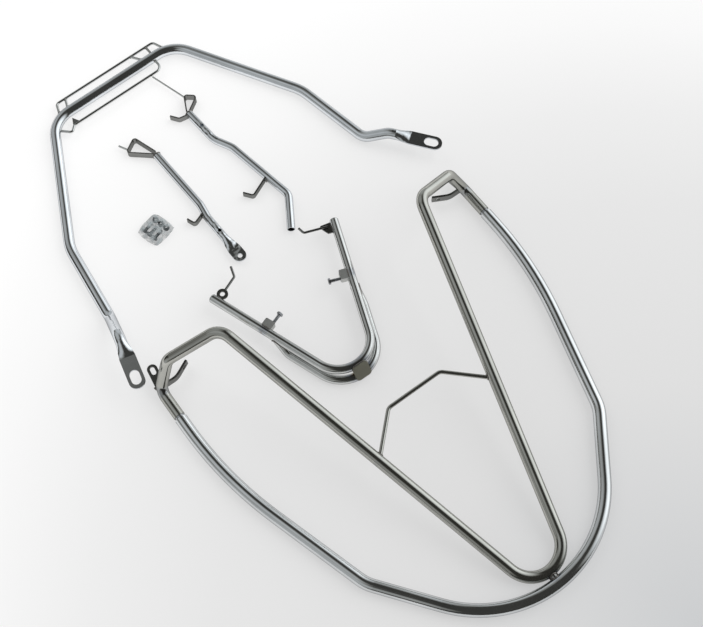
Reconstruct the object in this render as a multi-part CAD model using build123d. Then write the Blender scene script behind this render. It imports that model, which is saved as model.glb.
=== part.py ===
"""Scooter safety guard, laid out as a set: front guard, rear hoop, footboard bumper, two stays
and a pouch of fasteners.

Every piece lies on the ground plane, +Z up. While the pieces are made, the long axis of the
front guard is the Y axis, with the middle of its nose at zero. At the end the whole set is
moved so that the origin is at the middle of its footprint, on the ground.
Lengths are in millimetres and angles in degrees.
"""

from build123d import *
import math
import os

# Tube and rod stock
tube_wall = 1.2
rod_d = 5.0
arch_rod_d = 7.0
bar_thickness = 4.0

# Front guard, outer hoop (all places are on the tube's centre line)
hoop_tube_d = 22.0
hoop_half_width = 329.0
hoop_length = 582.0
hoop_nose_radius = 215.0
hoop_run_angle = 37.7
hoop_kink_half_width = 245.0
hoop_kink_radius = 70.0
hoop_flare_corner = 128.5
hoop_flare_run = 105.0

# Front guard, inner V tube
v_tube_d = 20.0
v_half_spread = 15.0
v_nose_radius = 51.0
v_nose_gap = 2.4
v_rise = 120.0
v_corner_front = 16.4
v_corner_radius = 30.0
v_shoulder_reach = 92.0
v_shoulder_back = 27.0
v_shoulder_drop = 52.0
v_shoulder_radius = 26.0
v_ankle_run = 59.0
v_ankle_radius = 22.0

# Joint between the hoop and the V tube on each side
joint_gap = 5.0
spigot_reach = 22.0
spigot_clearance = 0.1

# Arch rod between the legs of the V
arch_foot_back = 296.0
arch_top_back = 352.0
arch_top_half_width = 53.0
arch_top_lift = 2.0
arch_bend_radius = 14.0

# Curved strap and slotted lug welded at each ankle of the V
strap_height = 15.0
strap_reach = 60.7
strap_straight = 31.7
strap_hook = 15.0
strap_bend_radius = 30.0
strap_root_sink = 5.0
strap_root_back = 4.7
strap_hole_d = 8.4
strap_hole_edge = 11.0
lug_width = 18.0
lug_length = 51.0
lug_turn = 8.0
lug_slot_width = 8.0
lug_slot_length = 16.0
lug_slot_edge = 4.0

# Spacer welded between the hoop and the V at the nose
nose_spacer_d = 14.0

# Rear hoop, in its own frame: the middle of the rear straight is at zero, sides run to -Y
rear_tube_d = 20.0
rear_corner_half_width = 138.0
rear_corner_radius = 60.0
rear_side_angle = 27.6
rear_kink_back = 245.0
rear_kink_radius = 90.0
rear_skirt_angle = 8.0
rear_skirt_back = 402.0
rear_end_radius = 30.0
rear_left_reach = 13.0
rear_left_run = 58.0
rear_left_rise = 40.0
rear_right_reach = 36.0
rear_right_run = 30.0
rear_right_rise = 15.0
rear_end_lead = 14.0
rear_left_end_angle = 15.0
rear_right_end_angle = 35.0

# Flattened and slotted end of a tube
flat_neck = 28.0
flat_thickness = 3.4
flat_bore_margin = 4.0
rear_flat_width = 28.0
rear_flat_length = 60.0
rear_slot_width = 17.0
rear_slot_length = 27.0
rear_slot_edge = 7.0

# Tail rods on the rear straight
tail_outer_offset = 29.0
tail_outer_half_width = 112.0
tail_outer_radius = 8.0
tail_outer_splay = 12.0
tail_outer_sink = 4.0
tail_inner_offset = 32.0
tail_inner_right = 91.0
tail_inner_radius = 13.0
tail_inner_left = 112.0
tail_hook_reach = 12.0
tail_hook_depth = 11.0
tail_hook_radius = 5.0
tail_hook_return = 34.0
tail_hook_end = 20.0
tail_strut_left = 92.0
tail_strut_right = 95.0
tail_strut_lean = 12.0
tail_brace_start = 59.0
tail_brace_end = 78.0
tail_tab_size = 13.0
tail_tab_inset = 5.2

# Bumper, in its own frame: the middle of the nose is at zero, the legs run to +Y
bumper_tube_d = 16.0
bumper_half_spread = 20.4
bumper_nose_radius = 55.5
bumper_length = 247.0
rail_tube_d = 16.0
rail_drop = 16.6
rail_side_offset = 8.0
rail_nose_offset = 14.3
rail_length = 122.0
rail_end_run = 30.0
rail_end_radius = 24.0
nose_plate_width = 30.0
nose_plate_margin = 3.0
nose_plate_thickness = 3.0
nose_plate_corner = 6.0
clamp_back = 143.0
clamp_length = 19.0
clamp_depth = 12.0
clamp_height = 14.0
clamp_corner = 2.5
clamp_hole_d = 6.4
clamp_hole_offset = 4.5
bolt_d = 6.0
bolt_length = 26.0
bolt_head_flats = 10.0
bolt_head_height = 4.0
bolt_tip_chamfer = 0.7
bolt_grip = 8.0
ring_tab_d = 20.0
ring_tab_hole_d = 9.0
ring_tab_thickness = 3.0
ring_tab_sink = 2.0
end_plate_length = 30.0
end_plate_slope = 4.4
end_plate_foot = 16.5
end_plate_width = 22.0
end_plate_corner = 3.0
wire_d = 4.5
wire_bend_radius = 5.0
left_wire_run = [(26.7, 0.0), (54.0, 12.0), (60.0, 32.0)]
right_wire_run = [(16.5, -4.0), (58.5, 11.0), (60.5, 24.0)]

# Stays, each in its own frame: the top of its tube is at zero
stay_tube_d = 15.0
stay_bend_radius = 45.0
stay_end_bend_radius = 22.0
stay_hole_d = 7.0
stay_flat_width = 24.0
stay_flat_length = 28.0
stay_flat_hole_d = 9.0
stay_flat_hole_edge = 6.0
loop_band_height = 14.0
loop_band_thickness = 2.5
loop_bend_radius = 5.0
loop_apex_width = 6.0
loop_pin_d = 4.0
tab_height = 12.0
tab_thickness = 3.0
tab_bend_radius = 5.0
left_stay_run = [(0.0, 0.0), (7.0, -138.0), (3.0, -168.0), (5.0, -222.0)]
left_stay_hole = (5.0, -206.0)
left_loop_apex = (-1.0, 2.0)
left_loop_heading = 124.0
left_loop_length = 50.0
left_loop_width = 34.0
left_tab_run = [(3.0, -156.0), (-23.0, -167.0), (-29.0, -151.0)]
left_pin_run = [(-36.0, 39.5), (-46.0, 58.0)]
right_stay_run = [(0.0, 0.0), (6.0, -78.0), (24.0, -112.0), (50.0, -258.0), (12.0, -320.0)]
right_stay_hole = (3.5, -42.0)
right_loop_apex = (1.0, 2.0)
right_loop_heading = 50.0
right_loop_length = 34.0
right_loop_width = 24.0
right_tab_run = [(38.0, -204.0), (-4.0, -224.0), (-16.0, -208.0)]
right_hook_run = [(1.0, -6.0), (-22.0, -3.0), (-33.0, 12.0)]
right_brace_run = [(14.0, 33.0), (-10.0, 111.0)]
brace_rod_d = 3.5

# Places of the pieces that lie apart from the front guard: x, y and turn
rear_place = (-62.7, 1229.6, 3.3)
bumper_place = (-37.2, 482.0, -0.3)
left_stay_place = (-84.0, 1045.0, 0.0)
right_stay_place = (15.0, 1087.0, 0.0)
pouch_place = (-168.5, 915.2, 15.8)

# Fastener pouch and what it holds
pouch_length = 54.0
pouch_width = 52.0
pouch_height = 17.0
pouch_taper = 0.7
pouch_corner = 6.0
pouch_film = 0.4
pack_bolt_length = 18.0
pack_nut_height = 5.0
pack_nut_hole_d = 5.2
pack_washer_d = 12.0
pack_washer_hole_d = 6.6
pack_washer_thickness = 1.6
pack_count = 3
pack_gap = 0.4
pack_bolt_tip_x = 4.0
pack_nut_x = 14.0
pack_washer_spread = 1.08


def on_ground(diameter):
    """Height of the centre line of a round bar that lies on the ground."""
    return diameter / 2


def bent_bar(points, radii, diameter, wall=0.0):
    """A round rod, or a tube where a wall is given, along runs joined by tangent bends."""
    path = FilletPolyline(*points, radius=radii)
    section = Circle(diameter / 2)
    if wall:
        section -= Circle(diameter / 2 - wall)
    return sweep(Plane(origin=path @ 0, z_dir=path % 0) * section, path=path)


def bent_strip(points, radii, height, thickness):
    """A flat bar on edge, bent along a line in the plan, centred on the height of its first point."""
    line = FilletPolyline(*[(x, y) for x, y, _ in points], radius=radii)
    bar = extrude(trace(line, thickness), height)
    return Pos(0, 0, points[0][2] - height / 2) * bar


def straight_rod(start, end, diameter):
    """A straight round rod between two points."""
    first = Vector(*start)
    run = Vector(*end) - first
    return Plane(origin=first, z_dir=run.normalized()) * extrude(Circle(diameter / 2), run.length)


def mirrored(points):
    """The points of a left half followed by their mirror images, from left to right."""
    return points + [(-x, y, z) for x, y, z in reversed(points)]


def placed(pieces, spot):
    """Move pieces from their own frame to the frame of the set."""
    return {name: spot * piece for name, piece in pieces.items()}


def on_plan(place):
    """Location that moves by x and y and turns about the Z axis."""
    x, y, turn = place
    return Location((x, y, 0), (0, 0, turn))


def round_nose_setback(radius, half_spread):
    """How far beyond a round nose its two straight legs would meet."""
    return radius / math.sin(math.radians(half_spread)) - radius


# Front guard

def hoop_points():
    """Corners of the outer hoop, left to right: joint, flare, kink, then the point of the nose."""
    z = on_ground(hoop_tube_d)
    nose_y = -round_nose_setback(hoop_nose_radius, hoop_run_angle)
    kink_y = nose_y + hoop_kink_half_width / math.tan(math.radians(hoop_run_angle))
    left = [
        (-hoop_half_width, hoop_length, z),
        (-hoop_half_width, hoop_length - hoop_flare_corner, z),
        (-hoop_kink_half_width, kink_y, z),
    ]
    return left + [(0, nose_y, z)] + [(-x, y, z) for x, y, z in reversed(left)]


def hoop_radii():
    """Bend radii of the outer hoop at each corner. The flare bends from end to end of its run."""
    flare, kink = hoop_points()[1:3]
    flare_angle = math.atan2(kink[0] - flare[0], flare[1] - kink[1])
    side = [hoop_flare_run / math.tan(flare_angle / 2), hoop_kink_radius]
    return side + [hoop_nose_radius] + side[::-1]


def v_nose_back():
    """Distance from the centre line of the hoop's nose back to that of the V's nose."""
    return (hoop_tube_d + v_tube_d) / 2 + v_nose_gap


def v_length():
    """Length of the V up its plane, from the nose to the corners at the top of the legs."""
    return math.hypot(v_ankle().Y - v_corner_front - v_nose_back(), v_rise)


def v_frame():
    """Plane of the V: its origin is the middle of the nose bend and its Y axis climbs the legs."""
    climb = math.degrees(math.asin(v_rise / v_length()))
    return Plane(origin=(0, v_nose_back(), on_ground(v_tube_d)), x_dir=(1, 0, 0)).rotated((climb, 0, 0))


def on_v_leg(distance):
    """Point on the left leg's centre line, at a distance up the plane of the V."""
    setback = round_nose_setback(v_nose_radius, v_half_spread)
    half = (distance + setback) * math.tan(math.radians(v_half_spread))
    return v_frame().from_local_coords(Vector(-half, distance, 0))


def v_ankle():
    """Left ankle of the V, where it meets the ground again behind the joint."""
    return Vector(-hoop_half_width, hoop_length + joint_gap + v_ankle_run, on_ground(hoop_tube_d))


def v_heel():
    """Middle of the left ankle's bend, on the tube's centre line, where the lug and strap sit."""
    joint, ankle, shoulder = [Vector(*point) for point in v_points()[:3]]
    forward = (joint - ankle).normalized()
    upward = (shoulder - ankle).normalized()
    half_angle = math.radians(forward.get_angle(upward)) / 2
    reach = v_ankle_radius / math.sin(half_angle) - v_ankle_radius
    return ankle + (forward + upward).normalized() * reach


def v_points():
    """Corners of the V tube, left to right: joint, ankle, shoulder, inner corner, nose."""
    corner = on_v_leg(v_length())
    shoulder = corner + Vector(-v_shoulder_reach, v_shoulder_back, -v_shoulder_drop)
    joint = v_ankle() - Vector(0, v_ankle_run, 0)
    setback = round_nose_setback(v_nose_radius, v_half_spread)
    tip = v_frame().from_local_coords(Vector(0, -setback, 0))
    left = [tuple(p) for p in (joint, v_ankle(), shoulder, corner)]
    return left + [tuple(tip)] + [(-x, y, z) for x, y, z in reversed(left)]


def v_radii():
    """Bend radii of the V tube at each corner."""
    side = [v_ankle_radius, v_shoulder_radius, v_corner_radius]
    return side + [v_nose_radius] + side[::-1]


def outer_hoop():
    """The outer hoop, one bent tube."""
    return bent_bar(hoop_points(), hoop_radii(), hoop_tube_d, tube_wall)


def inner_v_tube():
    """The V tube, which climbs from the nose and comes down to the hoop's ends."""
    return bent_bar(v_points(), v_radii(), v_tube_d, tube_wall)


def v_envelope():
    """The V tube as if it were solid, to cope what is welded on it."""
    return bent_bar(v_points(), v_radii(), v_tube_d)


def joint_spigot(side):
    """Turned plug that joins a hoop end to a V end and shows as a neck between them."""
    hoop_bore = hoop_tube_d - 2 * tube_wall - 2 * spigot_clearance
    v_bore = v_tube_d - 2 * tube_wall - 2 * spigot_clearance
    middle = (side * hoop_half_width, hoop_length, on_ground(hoop_tube_d))
    axis = Plane(origin=middle, z_dir=(0, 1, 0))
    in_hoop = axis.offset(-spigot_reach) * extrude(Circle(hoop_bore / 2), spigot_reach)
    in_v = axis * extrude(Circle(v_bore / 2), joint_gap + spigot_reach)
    return in_hoop + in_v


def arch_rod(coped_by):
    """Bent rod that stands on both legs of the V."""
    foot = on_v_leg(arch_foot_back)
    top_z = foot.Z + arch_top_lift
    left = [tuple(foot), (-arch_top_half_width, arch_top_back + v_nose_back(), top_z)]
    return bent_bar(mirrored(left), [arch_bend_radius] * 2, arch_rod_d) - coped_by


def strap_points(side):
    """Root, bend and tip of a strap, measured inwards and back from the heel."""
    heel = v_heel()
    y = heel.Y + strap_root_back
    run = [(strap_root_sink, y), (strap_straight, y), (strap_reach, y + strap_hook)]
    return [(side * (abs(heel.X) - x), y, heel.Z) for x, y in run]


def strap(side):
    """Curved flat bar with a hole near its tip, welded to the inner side of an ankle."""
    root, corner, tip = strap_points(side)
    bar = bent_strip([root, corner, tip], [strap_bend_radius], strap_height, bar_thickness)
    along = (Vector(*corner) - Vector(*tip)).normalized()
    centre = Vector(*tip) + along * strap_hole_edge
    drill = Cylinder(strap_hole_d / 2, 2 * strap_height)
    return bar - Plane(origin=centre, z_dir=Vector(-along.Y, along.X, 0)) * drill


def lug(side):
    """Flat slotted lug that points backwards from an ankle and leans inwards."""
    heel = v_heel()
    outline = Pos(0, lug_length / 2) * SlotOverall(lug_length, lug_width, rotation=90)
    slot_y = lug_length - lug_slot_edge - lug_slot_length / 2
    slot = Pos(0, slot_y) * SlotOverall(lug_slot_length, lug_slot_width, rotation=90)
    plate = extrude(outline - slot, bar_thickness)
    spot = Location((side * abs(heel.X), heel.Y, heel.Z - bar_thickness / 2), (0, 0, side * lug_turn))
    return spot * plate


def nose_spacer(coped_by):
    """Short round spacer between the noses of the hoop and the V, coped to both."""
    start = Plane(origin=(0, 0, on_ground(v_tube_d)), z_dir=(0, 1, 0))
    spacer = start * extrude(Circle(nose_spacer_d / 2), v_nose_back())
    for tube in coped_by:
        spacer -= tube
    return spacer


def front_guard():
    """All the pieces of the front guard."""
    v_solid = v_envelope()
    hoop_solid = bent_bar(hoop_points(), hoop_radii(), hoop_tube_d)
    pieces = {
        "front_outer_hoop": outer_hoop(),
        "front_inner_v_tube": inner_v_tube(),
        "front_arch_rod": arch_rod(v_solid),
        "front_nose_spacer": nose_spacer([v_solid, hoop_solid]),
    }
    for name, side in (("left", -1), ("right", 1)):
        pieces[f"front_{name}_joint_spigot"] = joint_spigot(side)
        plate = lug(side) - v_solid
        pieces[f"front_{name}_lug"] = plate
        pieces[f"front_{name}_strap"] = strap(side) - v_solid - plate
    return pieces


# Flattened tube ends

def flattened_end(diameter, width, length, hole, hole_edge):
    """End of a tube pressed flat and holed, along local +Z from the round section at zero.

    The width lies along local X. The hole is a slot of a width and a length along the tube.
    """
    flat = Rectangle(width, flat_thickness)
    neck = loft([Circle(diameter / 2), Pos(0, 0, flat_neck) * flat])
    slit = Rectangle(width - 2 * flat_bore_margin, flat_thickness - 2 * tube_wall)
    bore = loft([Circle(diameter / 2 - tube_wall), Pos(0, 0, flat_neck - flat_bore_margin) * slit])
    outline = Pos(0, length - width / 2) * Circle(width / 2)
    outline += Pos(0, (length - width / 2) / 2) * Rectangle(width, length - width / 2)
    slot_width, slot_length = hole
    middle = length - hole_edge - slot_length / 2
    if slot_length > slot_width:
        outline -= Pos(0, middle) * SlotOverall(slot_length, slot_width, rotation=90)
    else:
        outline -= Pos(0, middle) * Circle(slot_width / 2)
    plate = extrude(Plane.XZ.offset(-flat_thickness / 2) * outline, flat_thickness)
    return neck - bore + Pos(0, 0, flat_neck) * plate


def end_on(piece, point, direction):
    """Put a flattened end on a tube's end, with its width level."""
    level = Vector(direction.Y, -direction.X, 0)
    return Plane(origin=point, x_dir=level, z_dir=direction) * piece


# Rear hoop

def rear_side_points():
    """Corners of one side of the rear hoop, from the rear straight to the start of its end."""
    z = on_ground(rear_tube_d)
    kink = rear_corner_half_width + rear_kink_back * math.tan(math.radians(rear_side_angle))
    skirt_run = rear_skirt_back - rear_kink_back
    skirt = kink + skirt_run * math.tan(math.radians(rear_skirt_angle))
    return [
        (rear_corner_half_width, 0, z),
        (kink, -rear_kink_back, z),
        (skirt, -rear_skirt_back, z),
    ]


def rear_end_points(reach, run, rise, angle):
    """The raised corner and the last point of the round tube at one end, on the +X side."""
    skirt_x, skirt_y, z = rear_side_points()[-1]
    raised = (skirt_x + reach, skirt_y - run, z + rise)
    turn = math.radians(angle)
    last = (
        raised[0] + rear_end_lead * math.sin(turn),
        raised[1] - rear_end_lead * math.cos(turn),
        raised[2],
    )
    return [raised, last]


def rear_hoop_points():
    """Corners of the rear hoop from its left end, round the tail, to its right end."""
    side = rear_side_points()
    left = side + rear_end_points(rear_left_reach, rear_left_run, rear_left_rise, rear_left_end_angle)
    right = side + rear_end_points(
        rear_right_reach, rear_right_run, rear_right_rise, rear_right_end_angle)
    return [(-x, y, z) for x, y, z in reversed(left)] + right


def rear_hoop_radii():
    """Bend radii of the rear hoop at each corner."""
    side = [rear_corner_radius, rear_kink_radius, rear_end_radius, rear_end_radius]
    return side[::-1] + side


def rear_hoop():
    """The rear hoop, one bent tube with both ends pressed flat and slotted."""
    points = [Vector(*p) for p in rear_hoop_points()]
    tube = bent_bar(rear_hoop_points(), rear_hoop_radii(), rear_tube_d, tube_wall)
    hole = (rear_slot_width, rear_slot_length)
    for last, before in ((points[0], points[1]), (points[-1], points[-2])):
        end = flattened_end(rear_tube_d, rear_flat_width, rear_flat_length, hole, rear_slot_edge)
        tube += end_on(end, last, (last - before).normalized())
    return tube


def rear_envelope():
    """The rear hoop as if it were solid, to cope what is welded on it."""
    points = [(-x, y, z) for x, y, z in reversed(rear_side_points())] + rear_side_points()
    radii = [rear_kink_radius, rear_corner_radius]
    return bent_bar(points, radii + radii[::-1], rear_tube_d)


def tail_outer_rod():
    """Rod that stands off behind the rear straight, with both ends turned in to the hoop."""
    z = on_ground(rear_tube_d)
    left = [
        (-tail_outer_half_width - tail_outer_splay, -tail_outer_sink, z),
        (-tail_outer_half_width, tail_outer_offset, z),
    ]
    return bent_bar(mirrored(left), [tail_outer_radius] * 2, rod_d)


def tail_inner_points():
    """Corners of the rod inside the rear straight, right to left, with a hooked left end."""
    z = on_ground(rear_tube_d)
    y = -tail_inner_offset
    return [
        (tail_inner_right, 0, z),
        (tail_inner_right, y, z),
        (-tail_inner_left, y, z),
        (-tail_inner_left - tail_hook_reach, y - tail_hook_depth, z),
        (-tail_inner_left - tail_hook_return, -tail_hook_end, z),
    ]


def tail_inner_rod(coped_by):
    """Rod inside the rear straight."""
    radii = [tail_inner_radius, tail_hook_radius, tail_hook_radius]
    return bent_bar(tail_inner_points(), radii, rod_d) - coped_by


def tail_strut(start, end, coped_by):
    """Short rod from the tail's outer rod to the rear straight."""
    z = on_ground(rear_tube_d)
    rod = straight_rod((start, tail_outer_offset, z), (end, 0, z), rod_d)
    for piece in coped_by:
        rod -= piece
    return rod


def tail_inner_tab():
    """Small three-cornered tab welded on the inner rod near its hooked end."""
    z = on_ground(rear_tube_d)
    x = -tail_inner_left + tail_tab_inset
    y = -tail_inner_offset + rod_d / 2
    outline = Polygon((-tail_tab_size / 2, 0), (tail_tab_size / 2, 0), (0, tail_tab_size), align=None)
    return Pos(x, y, z - ring_tab_thickness / 2) * extrude(outline, ring_tab_thickness)


def rear_group():
    """All the pieces of the rear hoop."""
    solid = rear_envelope()
    outer = tail_outer_rod()
    cutters = [solid, outer]
    return {
        "rear_hoop": rear_hoop(),
        "tail_outer_rod": outer - solid,
        "tail_inner_rod": tail_inner_rod(solid),
        "tail_left_strut": tail_strut(-tail_strut_left, -tail_strut_left - tail_strut_lean, cutters),
        "tail_right_strut": tail_strut(tail_strut_right, tail_strut_right, cutters),
        "tail_right_brace": tail_strut(tail_brace_start, tail_brace_end, cutters),
        "tail_inner_tab": tail_inner_tab(),
    }


# Bumper

def bumper_leg(distance, offset=0.0):
    """Point on the right leg's line at a distance behind the nose, moved outwards square to it."""
    spread = math.radians(bumper_half_spread)
    setback = round_nose_setback(bumper_nose_radius, bumper_half_spread)
    x = (distance + setback) * math.tan(spread)
    return Vector(x + offset * math.cos(spread), distance - offset * math.sin(spread))


def bumper_main_points():
    """Corners of the bumper's main tube, left end, nose, right end."""
    end = bumper_leg(bumper_length)
    setback = round_nose_setback(bumper_nose_radius, bumper_half_spread)
    return [(-end.X, end.Y, 0), (0, -setback, 0), (end.X, end.Y, 0)]


def bumper_main_tube():
    """Main tube of the bumper, open at both ends."""
    return bent_bar(bumper_main_points(), [bumper_nose_radius], bumper_tube_d, tube_wall)


def rail_points():
    """Corners of the rail, which drops from the main tube, runs below it and rounds the nose."""
    root = bumper_leg(rail_length)
    turn = bumper_leg(rail_length - rail_end_run, rail_side_offset)
    tip = turn.Y - turn.X / math.tan(math.radians(bumper_half_spread))
    return [
        (-root.X, root.Y, 0), (-turn.X, turn.Y, -rail_drop), (0, tip, -rail_drop),
        (turn.X, turn.Y, -rail_drop), (root.X, root.Y, 0),
    ]


def rail_nose_radius():
    """Bend radius that leaves the wanted offset between the noses of the main tube and the rail."""
    setback = -rail_nose_offset - rail_points()[2][1]
    return setback / (1 / math.sin(math.radians(bumper_half_spread)) - 1)


def bumper_rail(coped_by):
    """Lower rail of the bumper, coped to the main tube at both ends."""
    radii = [rail_end_radius, rail_nose_radius(), rail_end_radius]
    return bent_bar(rail_points(), radii, rail_tube_d, tube_wall) - coped_by


def bumper_nose_plate():
    """Gusset welded across the fronts of the noses of the main tube and the rail."""
    spacing = math.hypot(rail_nose_offset, rail_drop)
    step = (bumper_tube_d - rail_tube_d) / 2
    lean = math.degrees(math.atan2(rail_drop, rail_nose_offset) + math.asin(step / spacing))
    reach = math.sqrt(spacing ** 2 - step ** 2)
    outline = RectangleRounded(nose_plate_width, reach + 2 * nose_plate_margin, nose_plate_corner)
    plate = extrude(outline, nose_plate_thickness)
    return Rot(lean, 0, 0) * Pos(0, -reach / 2, bumper_tube_d / 2) * plate


def on_leg(piece, distance, side):
    """Put a piece made for a leg, +X inwards and +Y forwards along it, on one leg."""
    spread = bumper_half_spread
    spot = bumper_leg(distance)
    if side < 0:
        return Location((-spot.X, spot.Y, 0), (0, 0, spread)) * piece
    return Location((spot.X, spot.Y, 0), (0, 0, -spread)) * mirror(piece, about=Plane.YZ)


def clamp(side, coped_by):
    """Drilled block welded to the inner side of a bumper leg."""
    reach = bumper_tube_d / 2 + clamp_depth
    block = Pos(reach / 2, 0, 0) * Box(reach, clamp_length, clamp_height)
    block = fillet(block.edges().filter_by(Axis.Z).sort_by(Axis.X)[-2:], clamp_corner)
    hole = Pos(reach / 2, -clamp_hole_offset, 0) * Cylinder(clamp_hole_d / 2, 2 * reach, rotation=(0, 90, 0))
    return on_leg(block - hole, clamp_back, side) - coped_by


def hex_bolt(diameter, length):
    """Hexagon bolt along +Z, with its head at the top and its tip at zero."""
    shank = Cylinder(diameter / 2, length, align=(Align.CENTER, Align.CENTER, Align.MIN))
    shank = chamfer(shank.edges().group_by(Axis.Z)[0], bolt_tip_chamfer)
    head = extrude(RegularPolygon(bolt_head_flats / 2, 6, major_radius=False), bolt_head_height)
    return shank + Pos(0, 0, length) * head


def clamp_bolt(side):
    """Bolt screwed into a clamp block, with its head well clear of it."""
    bolt = hex_bolt(bolt_d, bolt_length)
    start = bumper_tube_d / 2 + clamp_depth - bolt_grip
    laid = Pos(start, -clamp_hole_offset, 0) * Rot(0, 90, 0) * bolt
    return on_leg(laid, clamp_back, side)


def ring_tab(coped_by):
    """Round drilled eye welded beside the left end of the bumper."""
    shape = Circle(ring_tab_d / 2) - Circle(ring_tab_hole_d / 2)
    x = bumper_tube_d / 2 + ring_tab_d / 2 - ring_tab_sink
    tab = Pos(x, -ring_tab_d / 2, -ring_tab_thickness / 2) * extrude(shape, ring_tab_thickness)
    return on_leg(tab, bumper_length, -1) - coped_by


def end_plate(coped_by):
    """Three-cornered plate welded beside the right end of the bumper."""
    outline = Polygon(
        (0, 0), (end_plate_length, -end_plate_slope),
        (end_plate_foot, -end_plate_width), (0, -end_plate_width), align=None)
    outline = fillet(outline.vertices().sort_by(Axis.X)[-1], end_plate_corner)
    plate = Pos(0, 0, -ring_tab_thickness / 2) * extrude(outline, ring_tab_thickness)
    return on_leg(plate, bumper_length, 1) - coped_by


def end_wire(side, run, coped_by):
    """Bent wire from a bumper end towards a stay, its run measured inwards and back from the end."""
    end = bumper_leg(bumper_length)
    points = [(side * (end.X - x), end.Y + y, 0) for x, y in run]
    return bent_bar(points, [wire_bend_radius], wire_d) - coped_by


def bumper():
    """All the pieces of the bumper, with the main tube's centre line at no height."""
    solid = bent_bar(bumper_main_points(), [bumper_nose_radius], bumper_tube_d)
    ring = ring_tab(solid)
    plate = end_plate(solid)
    pieces = {
        "bumper_main_tube": bumper_main_tube(),
        "bumper_lower_rail": bumper_rail(solid),
        "bumper_nose_plate": bumper_nose_plate(),
        "bumper_left_ring_tab": ring,
        "bumper_right_end_plate": plate,
        "bumper_left_wire": end_wire(-1, left_wire_run, ring),
        "bumper_right_wire": end_wire(1, right_wire_run, plate),
    }
    for name, side in (("left", -1), ("right", 1)):
        pieces[f"bumper_{name}_clamp"] = clamp(side, solid)
        pieces[f"bumper_{name}_bolt"] = clamp_bolt(side)
    return pieces


def bumper_at_rest():
    """Location that lays the bumper on its rail."""
    return on_plan(bumper_place) * Location((0, 0, rail_drop + on_ground(rail_tube_d)))


# Stays

def stay_points(run, z=stay_tube_d / 2):
    """A run in the plan as points at the height of the centre line of a stay's tube."""
    return [(x, y, z) for x, y in run]


def stay_tube(run, radii, hole):
    """A stay's bent tube, with a hole drilled down through it."""
    x, y = hole
    tube = bent_bar(stay_points(run), radii, stay_tube_d, tube_wall)
    return tube - Pos(x, y, stay_tube_d / 2) * Cylinder(stay_hole_d / 2, 2 * stay_tube_d)


def stay_loop(apex, heading, length, width):
    """Stirrup loop of flat band on edge, from an apex, along a heading in the plan."""
    turn = math.radians(heading)
    along = Vector(math.cos(turn), math.sin(turn), 0)
    across = Vector(-along.Y, along.X, 0)
    start = Vector(*apex, stay_tube_d / 2)
    corners = [
        start + across * loop_apex_width / 2,
        start + along * length + across * width / 2,
        start + along * length - across * width / 2,
        start - across * loop_apex_width / 2,
    ]
    radii = [loop_bend_radius] * 2
    return bent_strip([tuple(c) for c in corners], radii, loop_band_height, loop_band_thickness)


def stay_tab(run):
    """Bent flat bar on edge, welded to a stay."""
    radii = [tab_bend_radius] * (len(run) - 2)
    return bent_strip(stay_points(run), radii, tab_height, tab_thickness)


def left_stay():
    """All the pieces of the left stay."""
    points = stay_points(left_stay_run)
    radii = [stay_bend_radius] * (len(points) - 2)
    solid = bent_bar(points, radii, stay_tube_d)
    last = Vector(*points[-1])
    along = (last - Vector(*points[-2])).normalized()
    hole = (stay_flat_hole_d, stay_flat_hole_d)
    end = flattened_end(stay_tube_d, stay_flat_width, stay_flat_length, hole, stay_flat_hole_edge)
    loop = stay_loop(left_loop_apex, left_loop_heading, left_loop_length, left_loop_width) - solid
    pin = straight_rod(*stay_points(left_pin_run), loop_pin_d)
    return {
        "left_stay_tube": stay_tube(left_stay_run, radii, left_stay_hole) + end_on(end, last, along),
        "left_stay_loop": loop,
        "left_stay_tab": stay_tab(left_tab_run) - solid,
        "left_stay_pin": pin - loop,
    }


def right_stay():
    """All the pieces of the right stay."""
    points = stay_points(right_stay_run)
    radii = [stay_bend_radius, stay_bend_radius, stay_end_bend_radius]
    solid = bent_bar(points, radii, stay_tube_d)
    loop = stay_loop(right_loop_apex, right_loop_heading, right_loop_length, right_loop_width) - solid
    brace = straight_rod(*stay_points(right_brace_run), brace_rod_d)
    return {
        "right_stay_tube": stay_tube(right_stay_run, radii, right_stay_hole),
        "right_stay_loop": loop,
        "right_stay_tab": stay_tab(right_tab_run) - solid,
        "right_stay_hook": stay_tab(right_hook_run) - solid - loop,
        "right_stay_brace": brace - loop,
    }


# Fastener pouch

def pillow(length, width, height):
    """Tapered pillow with rounded corners that stands on its larger face."""
    base = RectangleRounded(length, width, pouch_corner)
    top = RectangleRounded(length * pouch_taper, width * pouch_taper, pouch_corner)
    return loft([base, Pos(0, 0, height) * top])


def pouch():
    """Clear film pouch, a hollow pillow with a flat underside."""
    film = pouch_film
    inside = pillow(pouch_length - 2 * film, pouch_width - 2 * film, pouch_height - 2 * film)
    return pillow(pouch_length, pouch_width, pouch_height) - Pos(0, 0, film) * inside


def hexagon_corners():
    """Size across the corners of a bolt's head or a nut."""
    return bolt_head_flats / math.cos(math.radians(30))


def pack_row():
    """Places across the pouch, one for each bolt, nut and washer."""
    pitch = hexagon_corners() + pack_gap
    return [(i - (pack_count - 1) / 2) * pitch for i in range(pack_count)]


def pack_bolts():
    """Bolts that lie side by side in the pouch."""
    bolt = hex_bolt(bolt_d, pack_bolt_length)
    z = pouch_film + hexagon_corners() / 2 + pack_gap
    laid = Rot(0, -90, 0) * bolt
    return Compound([Pos(pack_bolt_tip_x, y, z) * laid for y in pack_row()])


def pack_washers():
    """Flat washers that lie on the bottom of the pouch."""
    ring = Circle(pack_washer_d / 2) - Circle(pack_washer_hole_d / 2)
    washer = extrude(ring, pack_washer_thickness)
    z = pouch_film + pack_gap / 2
    return Compound([Pos(pack_nut_x, y * pack_washer_spread, z) * washer for y in pack_row()])


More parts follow.
